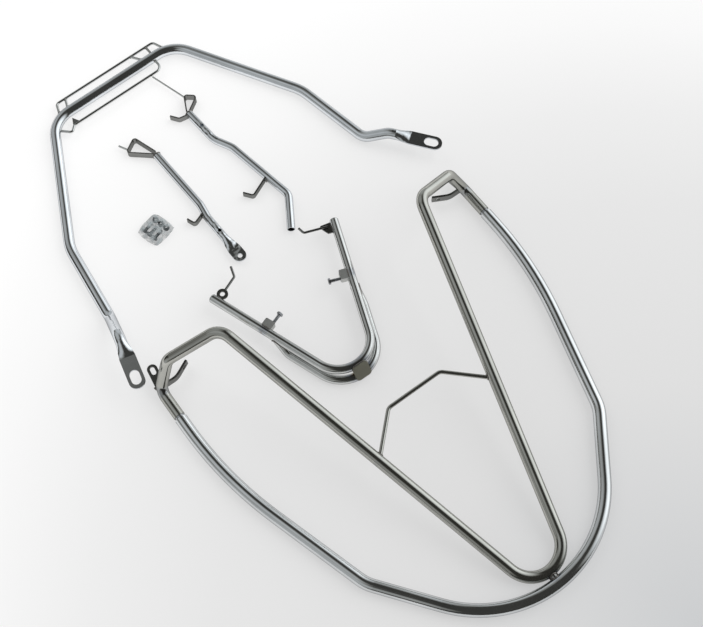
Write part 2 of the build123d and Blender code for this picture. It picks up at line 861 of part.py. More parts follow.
def pack_nuts():
    """Hexagon nuts that lie on the washers."""
    shape = RegularPolygon(bolt_head_flats / 2, 6, major_radius=False) - Circle(pack_nut_hole_d / 2)
    nut = extrude(shape, pack_nut_height)
    z = pouch_film + pack_washer_thickness + pack_gap
    return Compound([Pos(pack_nut_x, y * pack_washer_spread, z) * nut for y in pack_row()])


def pouch_group():
    """The pouch and the fasteners in it."""
    return {
        "fastener_pouch": pouch(),
        "pack_bolts": pack_bolts(),
        "pack_nuts": pack_nuts(),
        "pack_washers": pack_washers(),
    }


def guard_set():
    """Every piece of the set, in the frame of the front guard."""
    pieces = front_guard()
    pieces.update(placed(rear_group(), on_plan(rear_place)))
    pieces.update(placed(bumper(), bumper_at_rest()))
    pieces.update(placed(left_stay(), on_plan(left_stay_place)))
    pieces.update(placed(right_stay(), on_plan(right_stay_place)))
    pieces.update(placed(pouch_group(), on_plan(pouch_place)))
    return pieces


def outer_box(pieces):
    """Lowest and highest corners of the box round all the pieces."""
    boxes = [piece.bounding_box() for piece in pieces]
    low = [min(getattr(box.min, axis) for box in boxes) for axis in "XYZ"]
    high = [max(getattr(box.max, axis) for box in boxes) for axis in "XYZ"]
    return Vector(*low), Vector(*high)


def main():
    """Build the set, centre its footprint on the origin and write one file for each piece."""
    pieces = guard_set()
    low, high = outer_box(pieces.values())
    to_origin = Pos(-(low.X + high.X) / 2, -(low.Y + high.Y) / 2, -low.Z)
    print("moved by", to_origin.position, "size", high - low)
    os.makedirs("parts", exist_ok=True)
    for name, piece in pieces.items():
        export_step(to_origin * piece, f"parts/{name}.step")


if __name__ == "__main__":
    main()
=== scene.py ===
"""Looks of the scooter safety guard set: polished tubes, dark welded fittings, weld beads, threaded
fasteners and a clear pouch, laid out on a pale floor.

Lengths are written in millimetres in the frame of the front guard, whose nose is at zero with the
rear of the set towards +Y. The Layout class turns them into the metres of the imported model.
"""

import logging
import math
from dataclasses import dataclass
from enum import Enum
from typing import Iterable, Sequence, Union

import bmesh
import bpy
import numpy as np
from mathutils import Matrix, Vector


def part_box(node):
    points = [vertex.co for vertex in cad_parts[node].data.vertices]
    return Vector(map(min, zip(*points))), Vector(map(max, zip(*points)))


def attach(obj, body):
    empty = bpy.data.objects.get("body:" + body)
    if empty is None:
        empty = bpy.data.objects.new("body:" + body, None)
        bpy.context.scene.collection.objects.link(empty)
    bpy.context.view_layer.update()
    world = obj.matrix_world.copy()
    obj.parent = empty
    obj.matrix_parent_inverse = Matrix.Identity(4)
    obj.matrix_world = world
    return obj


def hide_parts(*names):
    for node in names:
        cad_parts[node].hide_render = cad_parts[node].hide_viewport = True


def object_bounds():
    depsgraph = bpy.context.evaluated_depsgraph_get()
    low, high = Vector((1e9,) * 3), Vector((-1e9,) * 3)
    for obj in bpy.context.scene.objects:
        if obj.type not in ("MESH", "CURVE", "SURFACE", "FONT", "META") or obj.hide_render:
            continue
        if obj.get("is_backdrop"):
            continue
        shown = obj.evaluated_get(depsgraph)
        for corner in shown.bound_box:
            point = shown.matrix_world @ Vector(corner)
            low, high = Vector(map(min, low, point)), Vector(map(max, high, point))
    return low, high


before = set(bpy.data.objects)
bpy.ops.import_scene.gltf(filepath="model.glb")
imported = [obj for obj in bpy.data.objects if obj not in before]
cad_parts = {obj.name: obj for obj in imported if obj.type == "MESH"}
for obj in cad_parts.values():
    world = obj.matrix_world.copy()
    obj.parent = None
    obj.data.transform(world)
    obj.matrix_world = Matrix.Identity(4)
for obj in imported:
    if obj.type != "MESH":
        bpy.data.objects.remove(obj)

LOG = logging.getLogger("guard")
BODY = "root"
MM = 0.001
MERGE = 0.001 * MM
FULL_TURN = 2.0 * math.pi
HOOP_TUBE_D = 22.0
UP = np.array([0.0, 0.0, 1.0])
SIDES = (("left", -1), ("right", 1))

Point = Sequence[float]
Triple = tuple[float, float, float]
Colour = Triple
Stop = tuple[float, Colour]
Spot = tuple[float, float, float, float]
Shape = tuple[np.ndarray, np.ndarray]
Value = Union[float, Sequence[float], bpy.types.NodeSocket]
Inputs = dict[Union[str, int], Value]


class Slot(Enum):
    """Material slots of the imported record."""

    POLISHED = "polished_steel"
    DARK = "dark_steel"
    ZINC = "zinc_steel"
    FILM = "clear_film"


class Kind(Enum):
    """Kinds of a node group's sockets."""

    FLOAT = "NodeSocketFloat"
    VECTOR = "NodeSocketVector"
    COLOUR = "NodeSocketColor"


# Layout

@dataclass(frozen=True)
class Layout:
    """Where the front guard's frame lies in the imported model, read from the outer hoop's box."""

    node: str = "front_outer_hoop"
    tube_d: float = HOOP_TUBE_D

    def shift(self) -> np.ndarray:
        """Offset in metres that takes the front guard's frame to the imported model's."""
        low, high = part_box(self.node)
        return np.array([(low.x + high.x) / 2, low.y + self.tube_d / 2 * MM, 0.0])

    def metres(self, points: Union[np.ndarray, Point]) -> np.ndarray:
        """Points in millimetres, last axis x, y and z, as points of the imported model."""
        return np.asarray(points, float) * MM + self.shift()


LAYOUT = Layout()


@dataclass(frozen=True)
class Place:
    """Place of a group in the plan: x, y, height and turn about the upright axis in degrees."""

    x: float = 0.0
    y: float = 0.0
    z: float = 0.0
    turn: float = 0.0

    def moved(self, points: np.ndarray) -> np.ndarray:
        """Points of the group's own frame in the front guard's frame.

        Args:
            points: array whose last axis is x, y and z in the group's frame.

        Returns:
            The points turned about the upright axis and then moved.
        """
        angle = math.radians(self.turn)
        turn = np.array([
            [math.cos(angle), math.sin(angle), 0.0],
            [-math.sin(angle), math.cos(angle), 0.0],
            UP,
        ])
        return np.asarray(points, float) @ turn + np.array([self.x, self.y, self.z])

    def put(self, shape: Shape) -> Shape:
        """A shape of the group's own frame in the front guard's frame."""
        return self.moved(shape[0]), shape[1]


def direction(turn: float, height: float) -> np.ndarray:
    """Unit vector towards a place far away.

    Args:
        turn: its turn from +X, in degrees.
        height: its height over the floor's plane, in degrees.

    Returns:
        The vector.
    """
    turn, height = math.radians(turn), math.radians(height)
    flat = math.cos(height)
    return np.array([flat * math.cos(turn), flat * math.sin(turn), math.sin(height)])


# Shader nodes

class Graph:
    """A tree of shader nodes and short ways to add to it."""

    def __init__(self, tree: bpy.types.NodeTree) -> None:
        """Keep the tree that the nodes go into."""
        self.tree = tree

    def feed(self, node: bpy.types.Node, inputs: Inputs) -> None:
        """Give a node's inputs their links and values.

        Args:
            node: the node.
            inputs: what each input gets, by name or number. Another node's output is linked to
                it, and anything else is set on the socket itself.
        """
        for label, value in inputs.items():
            if isinstance(value, bpy.types.NodeSocket):
                self.tree.links.new(value, node.inputs[label])
            else:
                node.inputs[label].default_value = value

    def add(self, kind: str, inputs: Inputs, **settings: object) -> bpy.types.Node:
        """Add a node.

        Args:
            kind: type of the node, without its leading ShaderNode.
            inputs: what each input gets, as feed takes it.
            settings: plain settings of the node.

        Returns:
            The new node.
        """
        node = self.tree.nodes.new(f"ShaderNode{kind}")
        for label, value in settings.items():
            setattr(node, label, value)
        self.feed(node, inputs)
        return node

    def place(self) -> bpy.types.NodeSocket:
        """Object coordinates."""
        return self.add("TexCoord", {}).outputs["Object"]

    def math(self, operation: str, *values: Value) -> bpy.types.NodeSocket:
        """Result of a Math node on one or more values."""
        return self.add("Math", dict(enumerate(values)), operation=operation).outputs["Value"]

    def vector(self, operation: str, inputs: Inputs, output: str) -> bpy.types.NodeSocket:
        """One output of a Vector Math node."""
        return self.add("VectorMath", inputs, operation=operation).outputs[output]

    def noise(self, place: Value, scale: Value, detail: float = 2.0) -> bpy.types.NodeSocket:
        """Level of a noise at a place."""
        inputs = {"Vector": place, "Scale": scale, "Detail": detail}
        return self.add("TexNoise", inputs).outputs["Fac"]

    def ranged(self, value: Value, start: Value, end: Value, low: float,
               high: float) -> bpy.types.NodeSocket:
        """A value that runs from low to high while another runs from start to end."""
        inputs = {"Value": value, "From Min": start, "From Max": end, "To Min": low, "To Max": high}
        return self.add("MapRange", inputs).outputs["Result"]

    def ramp(self, level: Value, stops: Sequence[Stop]) -> bpy.types.NodeSocket:
        """Colour of a ramp.

        Args:
            level: where the ramp is read.
            stops: position and colour of each stop, in order.

        Returns:
            The ramp's colour output.
        """
        node = self.add("ValToRGB", {"Fac": level})
        elements = node.color_ramp.elements
        for element, (position, colour) in zip(elements, (stops[0], stops[-1])):
            element.position, element.color = position, (*colour, 1.0)
        for position, colour in stops[1:-1]:
            elements.new(position).color = (*colour, 1.0)
        return node.outputs["Color"]

    def bump(self, height: Value, depth: float, strength: float = 1.0,
             **under: bpy.types.NodeSocket) -> bpy.types.NodeSocket:
        """Normal of a Bump node of a depth in millimetres, on top of the Normal under it."""
        inputs = {"Height": height, "Distance": depth * MM, "Strength": strength, **under}
        return self.add("Bump", inputs).outputs["Normal"]

    def largest(self, values: Sequence[Value]) -> Value:
        """The largest of several values, by a chain of Math nodes.

        Args:
            values: the values, of which the first is set against the others in turn.

        Returns:
            The last node's output, or the value itself if it is the only one.
        """
        most = values[0]
        for value in values[1:]:
            most = self.math("MAXIMUM", most, value)
        return most

    def show(self, output: str, share: Value, first: bpy.types.NodeSocket,
             second: bpy.types.NodeSocket) -> None:
        """Mix two shaders and join them to the tree's output node.

        Args:
            output: name of the output node.
            share: 0 for the first shader, 1 for the second.
            first: the first shader.
            second: the second shader.
        """
        mixed = self.add("MixShader", {0: share, 1: first, 2: second}).outputs["Shader"]
        self.feed(self.tree.nodes[output], {"Surface": mixed})


class NodeGroup(Graph):
    """A shader node group that is built once and placed in many materials."""

    def __init__(self, name: str, inputs: dict[str, tuple[Kind, Value]],
                 outputs: dict[str, Kind]) -> None:
        """Make the group's sockets.

        Args:
            name: name of the group.
            inputs: kind and default value of each input, by name.
            outputs: kind of each output, by name.
        """
        super().__init__(bpy.data.node_groups.new(name, "ShaderNodeTree"))
        sockets = self.tree.interface
        for label, (kind, value) in inputs.items():
            socket = sockets.new_socket(label, in_out="INPUT", socket_type=kind.value)
            socket.default_value = value
        for label, kind in outputs.items():
            sockets.new_socket(label, in_out="OUTPUT", socket_type=kind.value)
        self.given = self.tree.nodes.new("NodeGroupInput").outputs
        self.target = self.tree.nodes.new("NodeGroupOutput")

    def done(self, outputs: Inputs) -> bpy.types.NodeTree:
        """Link the group's outputs and give its tree."""
        self.feed(self.target, outputs)
        return self.tree


def grain_group() -> bpy.types.NodeTree:
    """Fine rolled grain of metal stock.

    Two noises of different scale are mixed: a fine one for scratches and pits, and a slow one for
    patches that are duller. The group gives a colour factor, a roughness and a bump height.

    Returns:
        The group's tree.
    """
    group = NodeGroup(
        "metal_grain",
        {"Fine Scale": (Kind.FLOAT, 900.0), "Patch Scale": (Kind.FLOAT, 14.0),
         "Roughness": (Kind.FLOAT, 0.1), "Spread": (Kind.FLOAT, 0.08)},
        {"Shade": Kind.FLOAT, "Roughness": Kind.FLOAT, "Height": Kind.FLOAT},
    )
    patch_low, patch_high, dullest, brightest = 0.3, 0.7, 0.8, 1.0
    place = group.place()
    fine = group.noise(place, group.given["Fine Scale"], detail=3.0)
    patch = group.noise(place, group.given["Patch Scale"], detail=4.0)
    shade = group.ranged(patch, patch_low, patch_high, dullest, brightest)
    rough = group.math("MULTIPLY_ADD", fine, group.given["Spread"], group.given["Roughness"])
    return group.done({"Shade": shade, "Roughness": rough, "Height": fine})


def heat_group() -> bpy.types.NodeTree:
    """Heat tint round a weld.

    The distance to the weld's centre, shaken by a noise, fades straw and brown into the base
    colour.

    Returns:
        The group's tree.
    """
    group = NodeGroup(
        "heat_tint",
        {"Colour": (Kind.COLOUR, (0.5, 0.5, 0.5, 1.0)), "Centre": (Kind.VECTOR, (0.0, 0.0, 0.0)),
         "Radius": (Kind.FLOAT, 0.02)},
        {"Colour": Kind.COLOUR},
    )
    shake, shake_scale = 8 * MM, 120.0
    mix_factor, mix_first, mix_second, mix_result = 0, 6, 7, 2
    bands = ((0.25, (0.10, 0.085, 0.07)), (0.5, (0.42, 0.34, 0.24)),
             (0.72, (0.72, 0.74, 0.80)), (1.0, (1.0, 1.0, 1.0)))
    place = group.place()
    apart = group.vector("DISTANCE", {0: place, 1: group.given["Centre"]}, "Value")
    shaken = group.math("MULTIPLY_ADD", group.noise(place, shake_scale), shake, apart)
    near = group.math("DIVIDE", shaken, group.given["Radius"])
    tinted = group.add(
        "Mix",
        {mix_factor: 1.0, mix_first: group.given["Colour"], mix_second: group.ramp(near, bands)},
        data_type="RGBA", blend_type="MULTIPLY")
    return group.done({"Colour": tinted.outputs[mix_result]})


def dent_group() -> bpy.types.NodeTree:
    """Uneven dents where a tube was pressed flat.

    A slow noise is multiplied by one less the distance to the press's middle over its reach, so
    that the dents fade out along the tube. The group gives a bump height.

    Returns:
        The group's tree.
    """
    group = NodeGroup(
        "press_dents",
        {"Centre": (Kind.VECTOR, (0.0, 0.0, 0.0)), "Reach": (Kind.FLOAT, 0.03),
         "Scale": (Kind.FLOAT, 75.0)},
        {"Height": Kind.FLOAT},
    )
    place = group.place()
    noise = group.noise(place, group.given["Scale"], detail=1.0)
    apart = group.vector("DISTANCE", {0: place, 1: group.given["Centre"]}, "Value")
    near = group.ranged(apart, 0.0, group.given["Reach"], 1.0, 0.0)
    return group.done({"Height": group.math("MULTIPLY", noise, near)})


GRAIN = grain_group()
HEAT = heat_group()
DENTS = dent_group()


# Finishes

def new_material(name: str) -> tuple[bpy.types.Material, Graph, bpy.types.Node]:
    """Make a material.

    Args:
        name: name of the material.

    Returns:
        The material, its graph and its shader.
    """
    made = bpy.data.materials.new(name)
    made.use_nodes = True
    return made, Graph(made.node_tree), made.node_tree.nodes["Principled BSDF"]


@dataclass(frozen=True)
class Finish:
    """What a piece is finished with: a material, and the slot of the record that it stands for."""

    name: str
    slot: Slot

    def material(self) -> bpy.types.Material:
        """The finish's material, made when it is first asked for.

        Returns:
            The material, the same one each time.
        """
        known = bpy.data.materials.get(self.name)
        if known:
            return known
        made, graph, shader = new_material(self.name)
        self.fill(graph, shader)
        return made

    def fill(self, graph: Graph, shader: bpy.types.Node) -> None:
        """Add the finish's nodes to its material."""
        raise NotImplementedError


@dataclass(frozen=True)
class MetalFinish(Finish):
    """A bare metal with grain, duller patches, heat tint near welds and dents near presses."""

    colour: Colour
    roughness: float
    spread: float = 0.08
    fine_scale: float = 900.0
    bump: float = 0.05
    grain_depth: float = 0.1
    edge: float = 0.45
    heat_spots: tuple[Spot, ...] = ()
    dent_spots: tuple[Spot, ...] = ()
    dent_depth: float = 2.0

    def fill(self, graph: Graph, shader: bpy.types.Node) -> None:
        """Add the grain, then one heat group for each weld and one dent group for each press.

        Args:
            graph: the material's nodes.
            shader: the material's shader.
        """
        grain = graph.add("Group", {"Fine Scale": self.fine_scale, "Roughness": self.roughness,
                                    "Spread": self.spread}, node_tree=GRAIN).outputs
        colour = graph.vector("SCALE", {0: self.colour, "Scale": grain["Shade"]}, "Vector")
        for *centre, radius in self.heat_spots:
            colour = graph.add("Group", {"Colour": colour, "Radius": radius * MM,
                                         "Centre": LAYOUT.metres(centre).tolist()},
                               node_tree=HEAT).outputs["Colour"]
        normal = graph.bump(grain["Height"], self.grain_depth, self.bump)
        for *centre, reach in self.dent_spots:
            dents = graph.add("Group", {"Centre": LAYOUT.metres(centre).tolist(),
                                        "Reach": reach * MM}, node_tree=DENTS)
            normal = graph.bump(dents.outputs["Height"], self.dent_depth, Normal=normal)
        graph.feed(shader, {
            "Metallic": 1.0,
            "Specular Tint": (self.edge, self.edge, self.edge, 1.0),
            "Base Color": colour,
            "Roughness": grain["Roughness"],
            "Normal": normal,
        })


@dataclass(frozen=True)
class FilmFinish(Finish):
    """Clear plastic film with fine creases and cloudy patches."""

    colour: Colour
    alpha: float
    roughness: float
    rough_spread: float = 0.2
    cloud_scale: float = 110.0
    cloud_ends: tuple[float, float] = (0.35, 0.65)
    alpha_factors: tuple[float, float] = (0.25, 1.6)
    crease_scale: float = 130.0
    crease_depth: float = 1.0
    crease_bump: float = 0.6
    coat_roughness: float = 0.05

    def fill(self, graph: Graph, shader: bpy.types.Node) -> None:
        """Let most light through, less where a noise makes the film cloudy, and crease it.

        The colour is the film's own, times the cloudy opacity plus what the plain one leaves.

        Args:
            graph: the material's nodes.
            shader: the material's shader.
        """
        place = graph.place()
        cloud = graph.noise(place, self.cloud_scale, detail=4.0)
        thin, thick = (self.alpha * factor for factor in self.alpha_factors)
        alpha = graph.ranged(cloud, *self.cloud_ends, thin, thick)
        tint = graph.vector("SCALE", {0: self.colour, "Scale": alpha}, "Vector")
        lift = [level * (1 - self.alpha) for level in self.colour]
        crease = graph.add("TexVoronoi", {"Vector": place, "Scale": self.crease_scale},
                           feature="DISTANCE_TO_EDGE").outputs["Distance"]
        graph.feed(shader, {
            "Coat Weight": 1.0,
            "Coat Roughness": self.coat_roughness,
            "Alpha": alpha,
            "Base Color": graph.vector("ADD", {0: tint, 1: lift}, "Vector"),
            "Roughness": graph.math("MULTIPLY_ADD", cloud, self.rough_spread, self.roughness),
            "Normal": graph.bump(crease, self.crease_depth, self.crease_bump),
        })


# Painted highlight: a lighter, bluer copy of the polished steel's colour, for the rear hoop and
# stays
PAINTED_HIGHLIGHT_STEEL = (0.84, 0.87, 0.90)
POLISHED = MetalFinish("polished_tube", Slot.POLISHED, (0.72, 0.73, 0.72), 0.06)
DARK = MetalFinish("dark_fitting", Slot.DARK, (0.29, 0.292, 0.283), 0.09,
                   spread=0.15, fine_scale=500.0, bump=0.2)
CLAMP = MetalFinish("clamp_metal", Slot.DARK, (0.78, 0.79, 0.77), 0.3,
                    spread=0.2, fine_scale=500.0, bump=0.2)
WELD = MetalFinish("weld_metal", Slot.DARK, (0.30, 0.28, 0.26), 0.22,
                   spread=0.2, fine_scale=700.0, bump=0.3)
GUSSET = MetalFinish("gusset_metal", Slot.DARK, (0.52, 0.51, 0.42), 0.3, spread=0.2, bump=0.2)
ZINC = MetalFinish("zinc_fastener", Slot.ZINC, (0.50, 0.51, 0.53), 0.18, spread=0.15, bump=0.1)
BLACKENED = MetalFinish("blackened_fastener", Slot.ZINC, (0.14, 0.15, 0.16), 0.12,
                        spread=0.2, bump=0.1)
FILM = FilmFinish("pouch_film", Slot.FILM, (0.27, 0.30, 0.31), 0.58, 0.04)


def dress(finish: Finish, *nodes: str) -> None:
    """Give CAD nodes' objects a finish in place of their plain material.

    Args:
        finish: the finish.
        nodes: names of the CAD nodes.
    """
    for node in nodes:
        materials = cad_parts[node].data.materials
        materials.clear()
        materials.append(finish.material())


def add_piece(name: str, shape: Shape, finish: Finish, replaces: Sequence[str] = (),
              smooth: bool = True) -> None:
    """Make a mesh piece that rides on the set.

    Its doubles are merged and its faces turned outwards, because some shapes are mirrored.

    Args:
        name: name of the piece.
        shape: vertices in the front guard's frame, in millimetres, and faces.
        finish: what the piece is finished with.
        replaces: CAD nodes that the piece stands for.
        smooth: whether the faces are shaded smooth.
    """
    vertices, faces = shape
    mesh = bpy.data.meshes.new(name)
    mesh.from_pydata(LAYOUT.metres(vertices).tolist(), [], faces.tolist())
    shell = bmesh.new()
    shell.from_mesh(mesh)
    bmesh.ops.remove_doubles(shell, verts=shell.verts, dist=MERGE)
    bmesh.ops.recalc_face_normals(shell, faces=shell.faces)
    shell.to_mesh(mesh)
    shell.free()
    mesh.validate()
    mesh.polygons.foreach_set("use_smooth", [smooth] * len(mesh.polygons))
    piece = bpy.data.objects.new(name, mesh)
    bpy.context.scene.collection.objects.link(piece)
    mesh.materials.append(finish.material())
    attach(piece, BODY)
    if replaces:
        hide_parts(*replaces)
    LOG.info("%s: %d faces", name, len(mesh.polygons))


# Shapes worked out on grids: each is an array of vertices and an array of faces

def unit(vector: Union[np.ndarray, Point]) -> np.ndarray:
    """Vectors scaled to length one along the last axis."""
    vector = np.asarray(vector, float)
    return vector / np.linalg.norm(vector, axis=-1, keepdims=True)


def around(columns: int) -> np.ndarray:
    """Equal steps of angle round a full turn."""
    return np.linspace(0, FULL_TURN, columns, endpoint=False)


def grid_faces(rows: int, columns: int, close_rows: bool, close_columns: bool) -> np.ndarray:
    """Quads between neighbouring rows and columns of a grid of vertices.

    Args:
        rows: number of rows.
        columns: number of columns.
        close_rows: whether the last row joins the first.
        close_columns: whether the last column joins the first.

    Returns:
        An array of four vertex numbers for each quad.
    """
    index = np.arange(rows * columns).reshape(rows, columns)
    if close_rows:
        index = np.vstack([index, index[:1]])
    if close_columns:
        index = np.hstack([index, index[:, :1]])
    corners = (index[:-1, :-1], index[:-1, 1:], index[1:, 1:], index[1:, :-1])
    return np.stack([corner.ravel() for corner in corners], axis=1)


def joined(shapes: Iterable[Shape]) -> Shape:
    """Join several shapes.

    Args:
        shapes: vertices and faces of each.

    Returns:
        All the vertices, and all the faces with their vertex numbers counted on.
    """
    vertices, faces, count = [], [], 0
    for points, quads in shapes:
        vertices.append(points)
        faces.append(quads + count)
        count += len(points)
    return np.vstack(vertices), np.vstack(faces)


def turned(radii: np.ndarray, heights: np.ndarray, closed: bool) -> Shape:
    """A surface of rings about +Z.

    Each point's x and y are its radius times the cosine and the sine of its column's angle.

    Args:
        radii: radius of each point, a row for each ring.
        heights: height of each ring, as a column.
        closed: whether the last ring joins the first.

    Returns:
        The surface's vertices and faces.
    """
    rows, columns = radii.shape
    angle = around(columns)
    levels = np.broadcast_to(heights, radii.shape)
    points = np.stack([radii * np.cos(angle), radii * np.sin(angle), levels], axis=-1)
    return points.reshape(-1, 3), grid_faces(rows, columns, closed, True)


def laid_along(shape: Shape, start: Point, along: Point) -> Shape:
    """A shape made along +Z, laid along a level direction.

    Args:
        shape: the shape.
        start: where its zero goes.
        along: the level direction that its +Z turns to.

    Returns:
        The shape, turned and then moved.
    """
    along = unit(along)
    across = unit(np.cross(UP, along))
    axes = np.stack([across, np.cross(along, across), along])
    return shape[0] @ axes + np.asarray(start, float), shape[1]


def bead_along(path: np.ndarray, lean: Point, radius: float, closed: bool,
               ripple_pitch: float = 2.2, ripple_low: float = 0.82, columns: int = 10) -> Shape:
    """A weld bead carried along a path.

    A circle is carried along the path. Its radius swells and shrinks as the absolute sine of the
    length along the path over the ripple's pitch, and on an open path it falls to nothing at both
    ends as the root of one less the fourth power of the place between them.

    Args:
        path: points of the bead's centre line.
        lean: a direction that is never along the path.
        radius: largest radius of the bead.
        closed: whether the path's end joins its start.
        ripple_pitch: length of one ripple.
        ripple_low: radius between two ripples, as a share of the largest.
        columns: vertices round the bead.

    Returns:
        The bead's vertices and faces.
    """
    if closed:
        step = (np.roll(path, -1, 0) - np.roll(path, 1, 0)) / 2
    else:
        step = np.gradient(path, axis=0)
    tangent = unit(step)
    across = unit(np.cross(tangent, lean))
    upward = np.cross(across, tangent)
    length = np.cumsum(np.linalg.norm(step, axis=1))
    swell = ripple_low + (1 - ripple_low) * np.abs(np.sin(math.pi * length / ripple_pitch))
    if not closed:
        share = np.linspace(-1, 1, len(path))
        swell = swell * np.sqrt(np.clip(1 - share ** 4, 0, 1))
    angle = around(columns)[None, :, None]
    ring = across[:, None] * np.cos(angle) + upward[:, None] * np.sin(angle)
    points = path[:, None] + ring * (radius * swell)[:, None, None]
    return points.reshape(-1, 3), grid_faces(len(path), columns, closed, True)


def saddle_bead(centre: Point, rod: Point, tube: Point, radii: tuple[float, float, float],
                rows: int = 64) -> Shape:
    """A weld bead round a rod that stands on a tube.

    Each point of a circle about the rod is moved along the rod until it is one tube radius from
    the tube's axis, which gives the saddle-shaped line where the two surfaces meet.

    Args:
        centre: where the two axes cross.
        rod: direction of the rod, away from the tube.
        tube: direction of the tube.
        radii: radius of the rod, of the tube and of the bead.
        rows: points round the rod.

    Returns:
        The bead's vertices and faces.
    """
    rod, tube = unit(rod), unit(tube)
    rod_radius, tube_radius, bead_radius = radii
    first = unit(tube - rod * (tube @ rod))
    angle = around(rows)[:, None]
    ring = rod_radius * (np.cos(angle) * first + np.sin(angle) * np.cross(rod, first))
    flat_ring = ring - (ring @ tube)[:, None] * tube
    flat_rod = rod - (rod @ tube) * tube
    a = flat_rod @ flat_rod
    b = flat_ring @ flat_rod
    c = (flat_ring ** 2).sum(1) - tube_radius ** 2
    height = (-b + np.sqrt(np.clip(b ** 2 - a * c, 0, None))) / a
    path = np.asarray(centre, float) + ring + height[:, None] * rod
    return bead_along(path, rod, bead_radius, closed=True)


def line_bead(start: Point, end: Point, radius: float, lean: Point = UP, rows: int = 40) -> Shape:
    """A straight weld bead.

    Args:
        start: the bead's start.
        end: the bead's end.
        radius: largest radius of the bead.
        lean: a direction that isn't along the bead.
        rows: points along the bead.

    Returns:
        The bead's vertices and faces.
    """
    share = np.linspace(0, 1, rows)[:, None]
    path = np.asarray(start, float) * (1 - share) + np.asarray(end, float) * share
    return bead_along(path, lean, radius, closed=False)


def hexagon_radius(angle: np.ndarray, flats: float) -> np.ndarray:
    """Distance from the middle to the side of a hexagon of a size across flats, at each angle."""
    sixth = math.pi / 3
    return flats / 2 / np.cos(np.mod(angle + sixth / 2, sixth) - sixth / 2)


@dataclass(frozen=True)
class Thread:
    """A screw thread: its pitch, its depth and how many rings of vertices each pitch has."""

    pitch: float = 1.0
    depth: float = 0.5
    rows: int = 6

    def heights(self, start: float, end: float) -> np.ndarray:
        """Heights of the rings from start to end, as a column."""
        count = int(abs(end - start) / self.pitch * self.rows)
        return np.linspace(start, end, count)[:, None]

    def radius(self, height: np.ndarray, angle: np.ndarray, crest: float) -> np.ndarray:
        """Radius of the thread's surface.

        It goes down and up as a triangle wave of the height over the pitch, less the turn over a
        full turn, so that its crest is a helix.

        Args:
            height: heights, as a column.
            angle: angles, as a row.
            crest: radius of the crest.

        Returns:
            The radius at each height and angle.
        """
        phase = np.mod(height / self.pitch - angle / FULL_TURN, 1.0)
        return crest - self.depth * (1 - np.abs(2 * phase - 1))


@dataclass(frozen=True)
class HexBolt:
    """A hexagon bolt along +Z with its tip at zero."""

    diameter: float = 6.0
    length: float = 26.0
    flats: float = 10.0
    head_height: float = 4.0
    head_chamfer: float = 0.7
    crown: float = 0.96
    thread: Thread = Thread(depth=0.55)
    thread_length: float = 18.0
    tip_chamfer: float = 0.7
    columns: int = 48

    def shape(self) -> Shape:
        """The bolt as one surface of rings.

        The shank's rings follow the thread's triangle wave up to the thread's end and then a plain
        circle, the head's rings follow a hexagon cut by a cone at its top, and the first and last
        rings shrink to the axis.

        Returns:
            The bolt's vertices and faces.
        """
        angle = around(self.columns)[None, :]
        height = self.thread.heights(0, self.length)
        shank = self.thread.radius(height, angle, self.diameter / 2)
        shank = np.where(height < self.thread_length, shank, self.diameter / 2)
        tip = self.diameter / 2 - np.clip(self.tip_chamfer - height, 0, None)
        side = hexagon_radius(angle, self.flats)
        cone = np.minimum(side, self.flats / 2 * self.crown)
        top = self.length + self.head_height
        radii = np.vstack([0 * angle, np.minimum(shank, tip), side, side, cone, 0 * angle])
        heights = [0.0, *height[:, 0], self.length, top - self.head_chamfer, top, top]
        return turned(radii, np.array(heights)[:, None], closed=False)


@dataclass(frozen=True)
class HexNut:
    """A hexagon nut along +Z that stands on zero, with a threaded hole."""

    flats: float = 10.0
    height: float = 5.0
    hole: float = 5.2
    thread: Thread = Thread()
    chamfer: float = 0.7
    crown: float = 0.98
    columns: int = 48

    def shape(self) -> Shape:
        """The nut as one closed surface of rings: up the hexagon and down the threaded hole.

        Returns:
            The nut's vertices and faces.
        """
        angle = around(self.columns)[None, :]
        side = hexagon_radius(angle, self.flats)
        cone = np.minimum(side, self.flats / 2 * self.crown)
        inner_height = self.thread.heights(self.height, 0)
        inner = self.thread.radius(inner_height, angle, self.hole / 2 + self.thread.depth)
        heights = [0.0, self.chamfer, self.height - self.chamfer, self.height, *inner_height[:, 0]]
        return turned(np.vstack([cone, side, side, cone, inner]), np.array(heights)[:, None],
                      closed=True)


@dataclass(frozen=True)
class Washer:
    """A flat washer that stands on zero, with rounded edges."""

    diameter: float = 12.0
    hole: float = 6.6
    thickness: float = 1.6
    rounding: float = 0.35
    corner_points: int = 4
    columns: int = 48

    def shape(self) -> Shape:
        """The washer as a rectangle with rounded corners, turned about the axis.

        Returns:
            The washer's vertices and faces.
        """
        middle = np.array([(self.diameter + self.hole) / 4, self.thickness / 2])
        half = np.array([(self.diameter - self.hole) / 4, self.thickness / 2])
        corner = np.linspace(0, math.pi / 2, self.corner_points)
        quarter = np.arange(4)[:, None] * math.pi / 2 + corner
        centres = np.array([[1, 1], [-1, 1], [-1, -1], [1, -1]])[:, None] * (half - self.rounding)
        round_corners = self.rounding * np.stack([np.cos(quarter), np.sin(quarter)], axis=-1)
        outline = (centres + round_corners).reshape(-1, 2) + middle
        radii = np.repeat(outline[:, :1], self.columns, axis=1)
        return turned(radii, outline[:, 1:], closed=True)


# Sub-assemblies

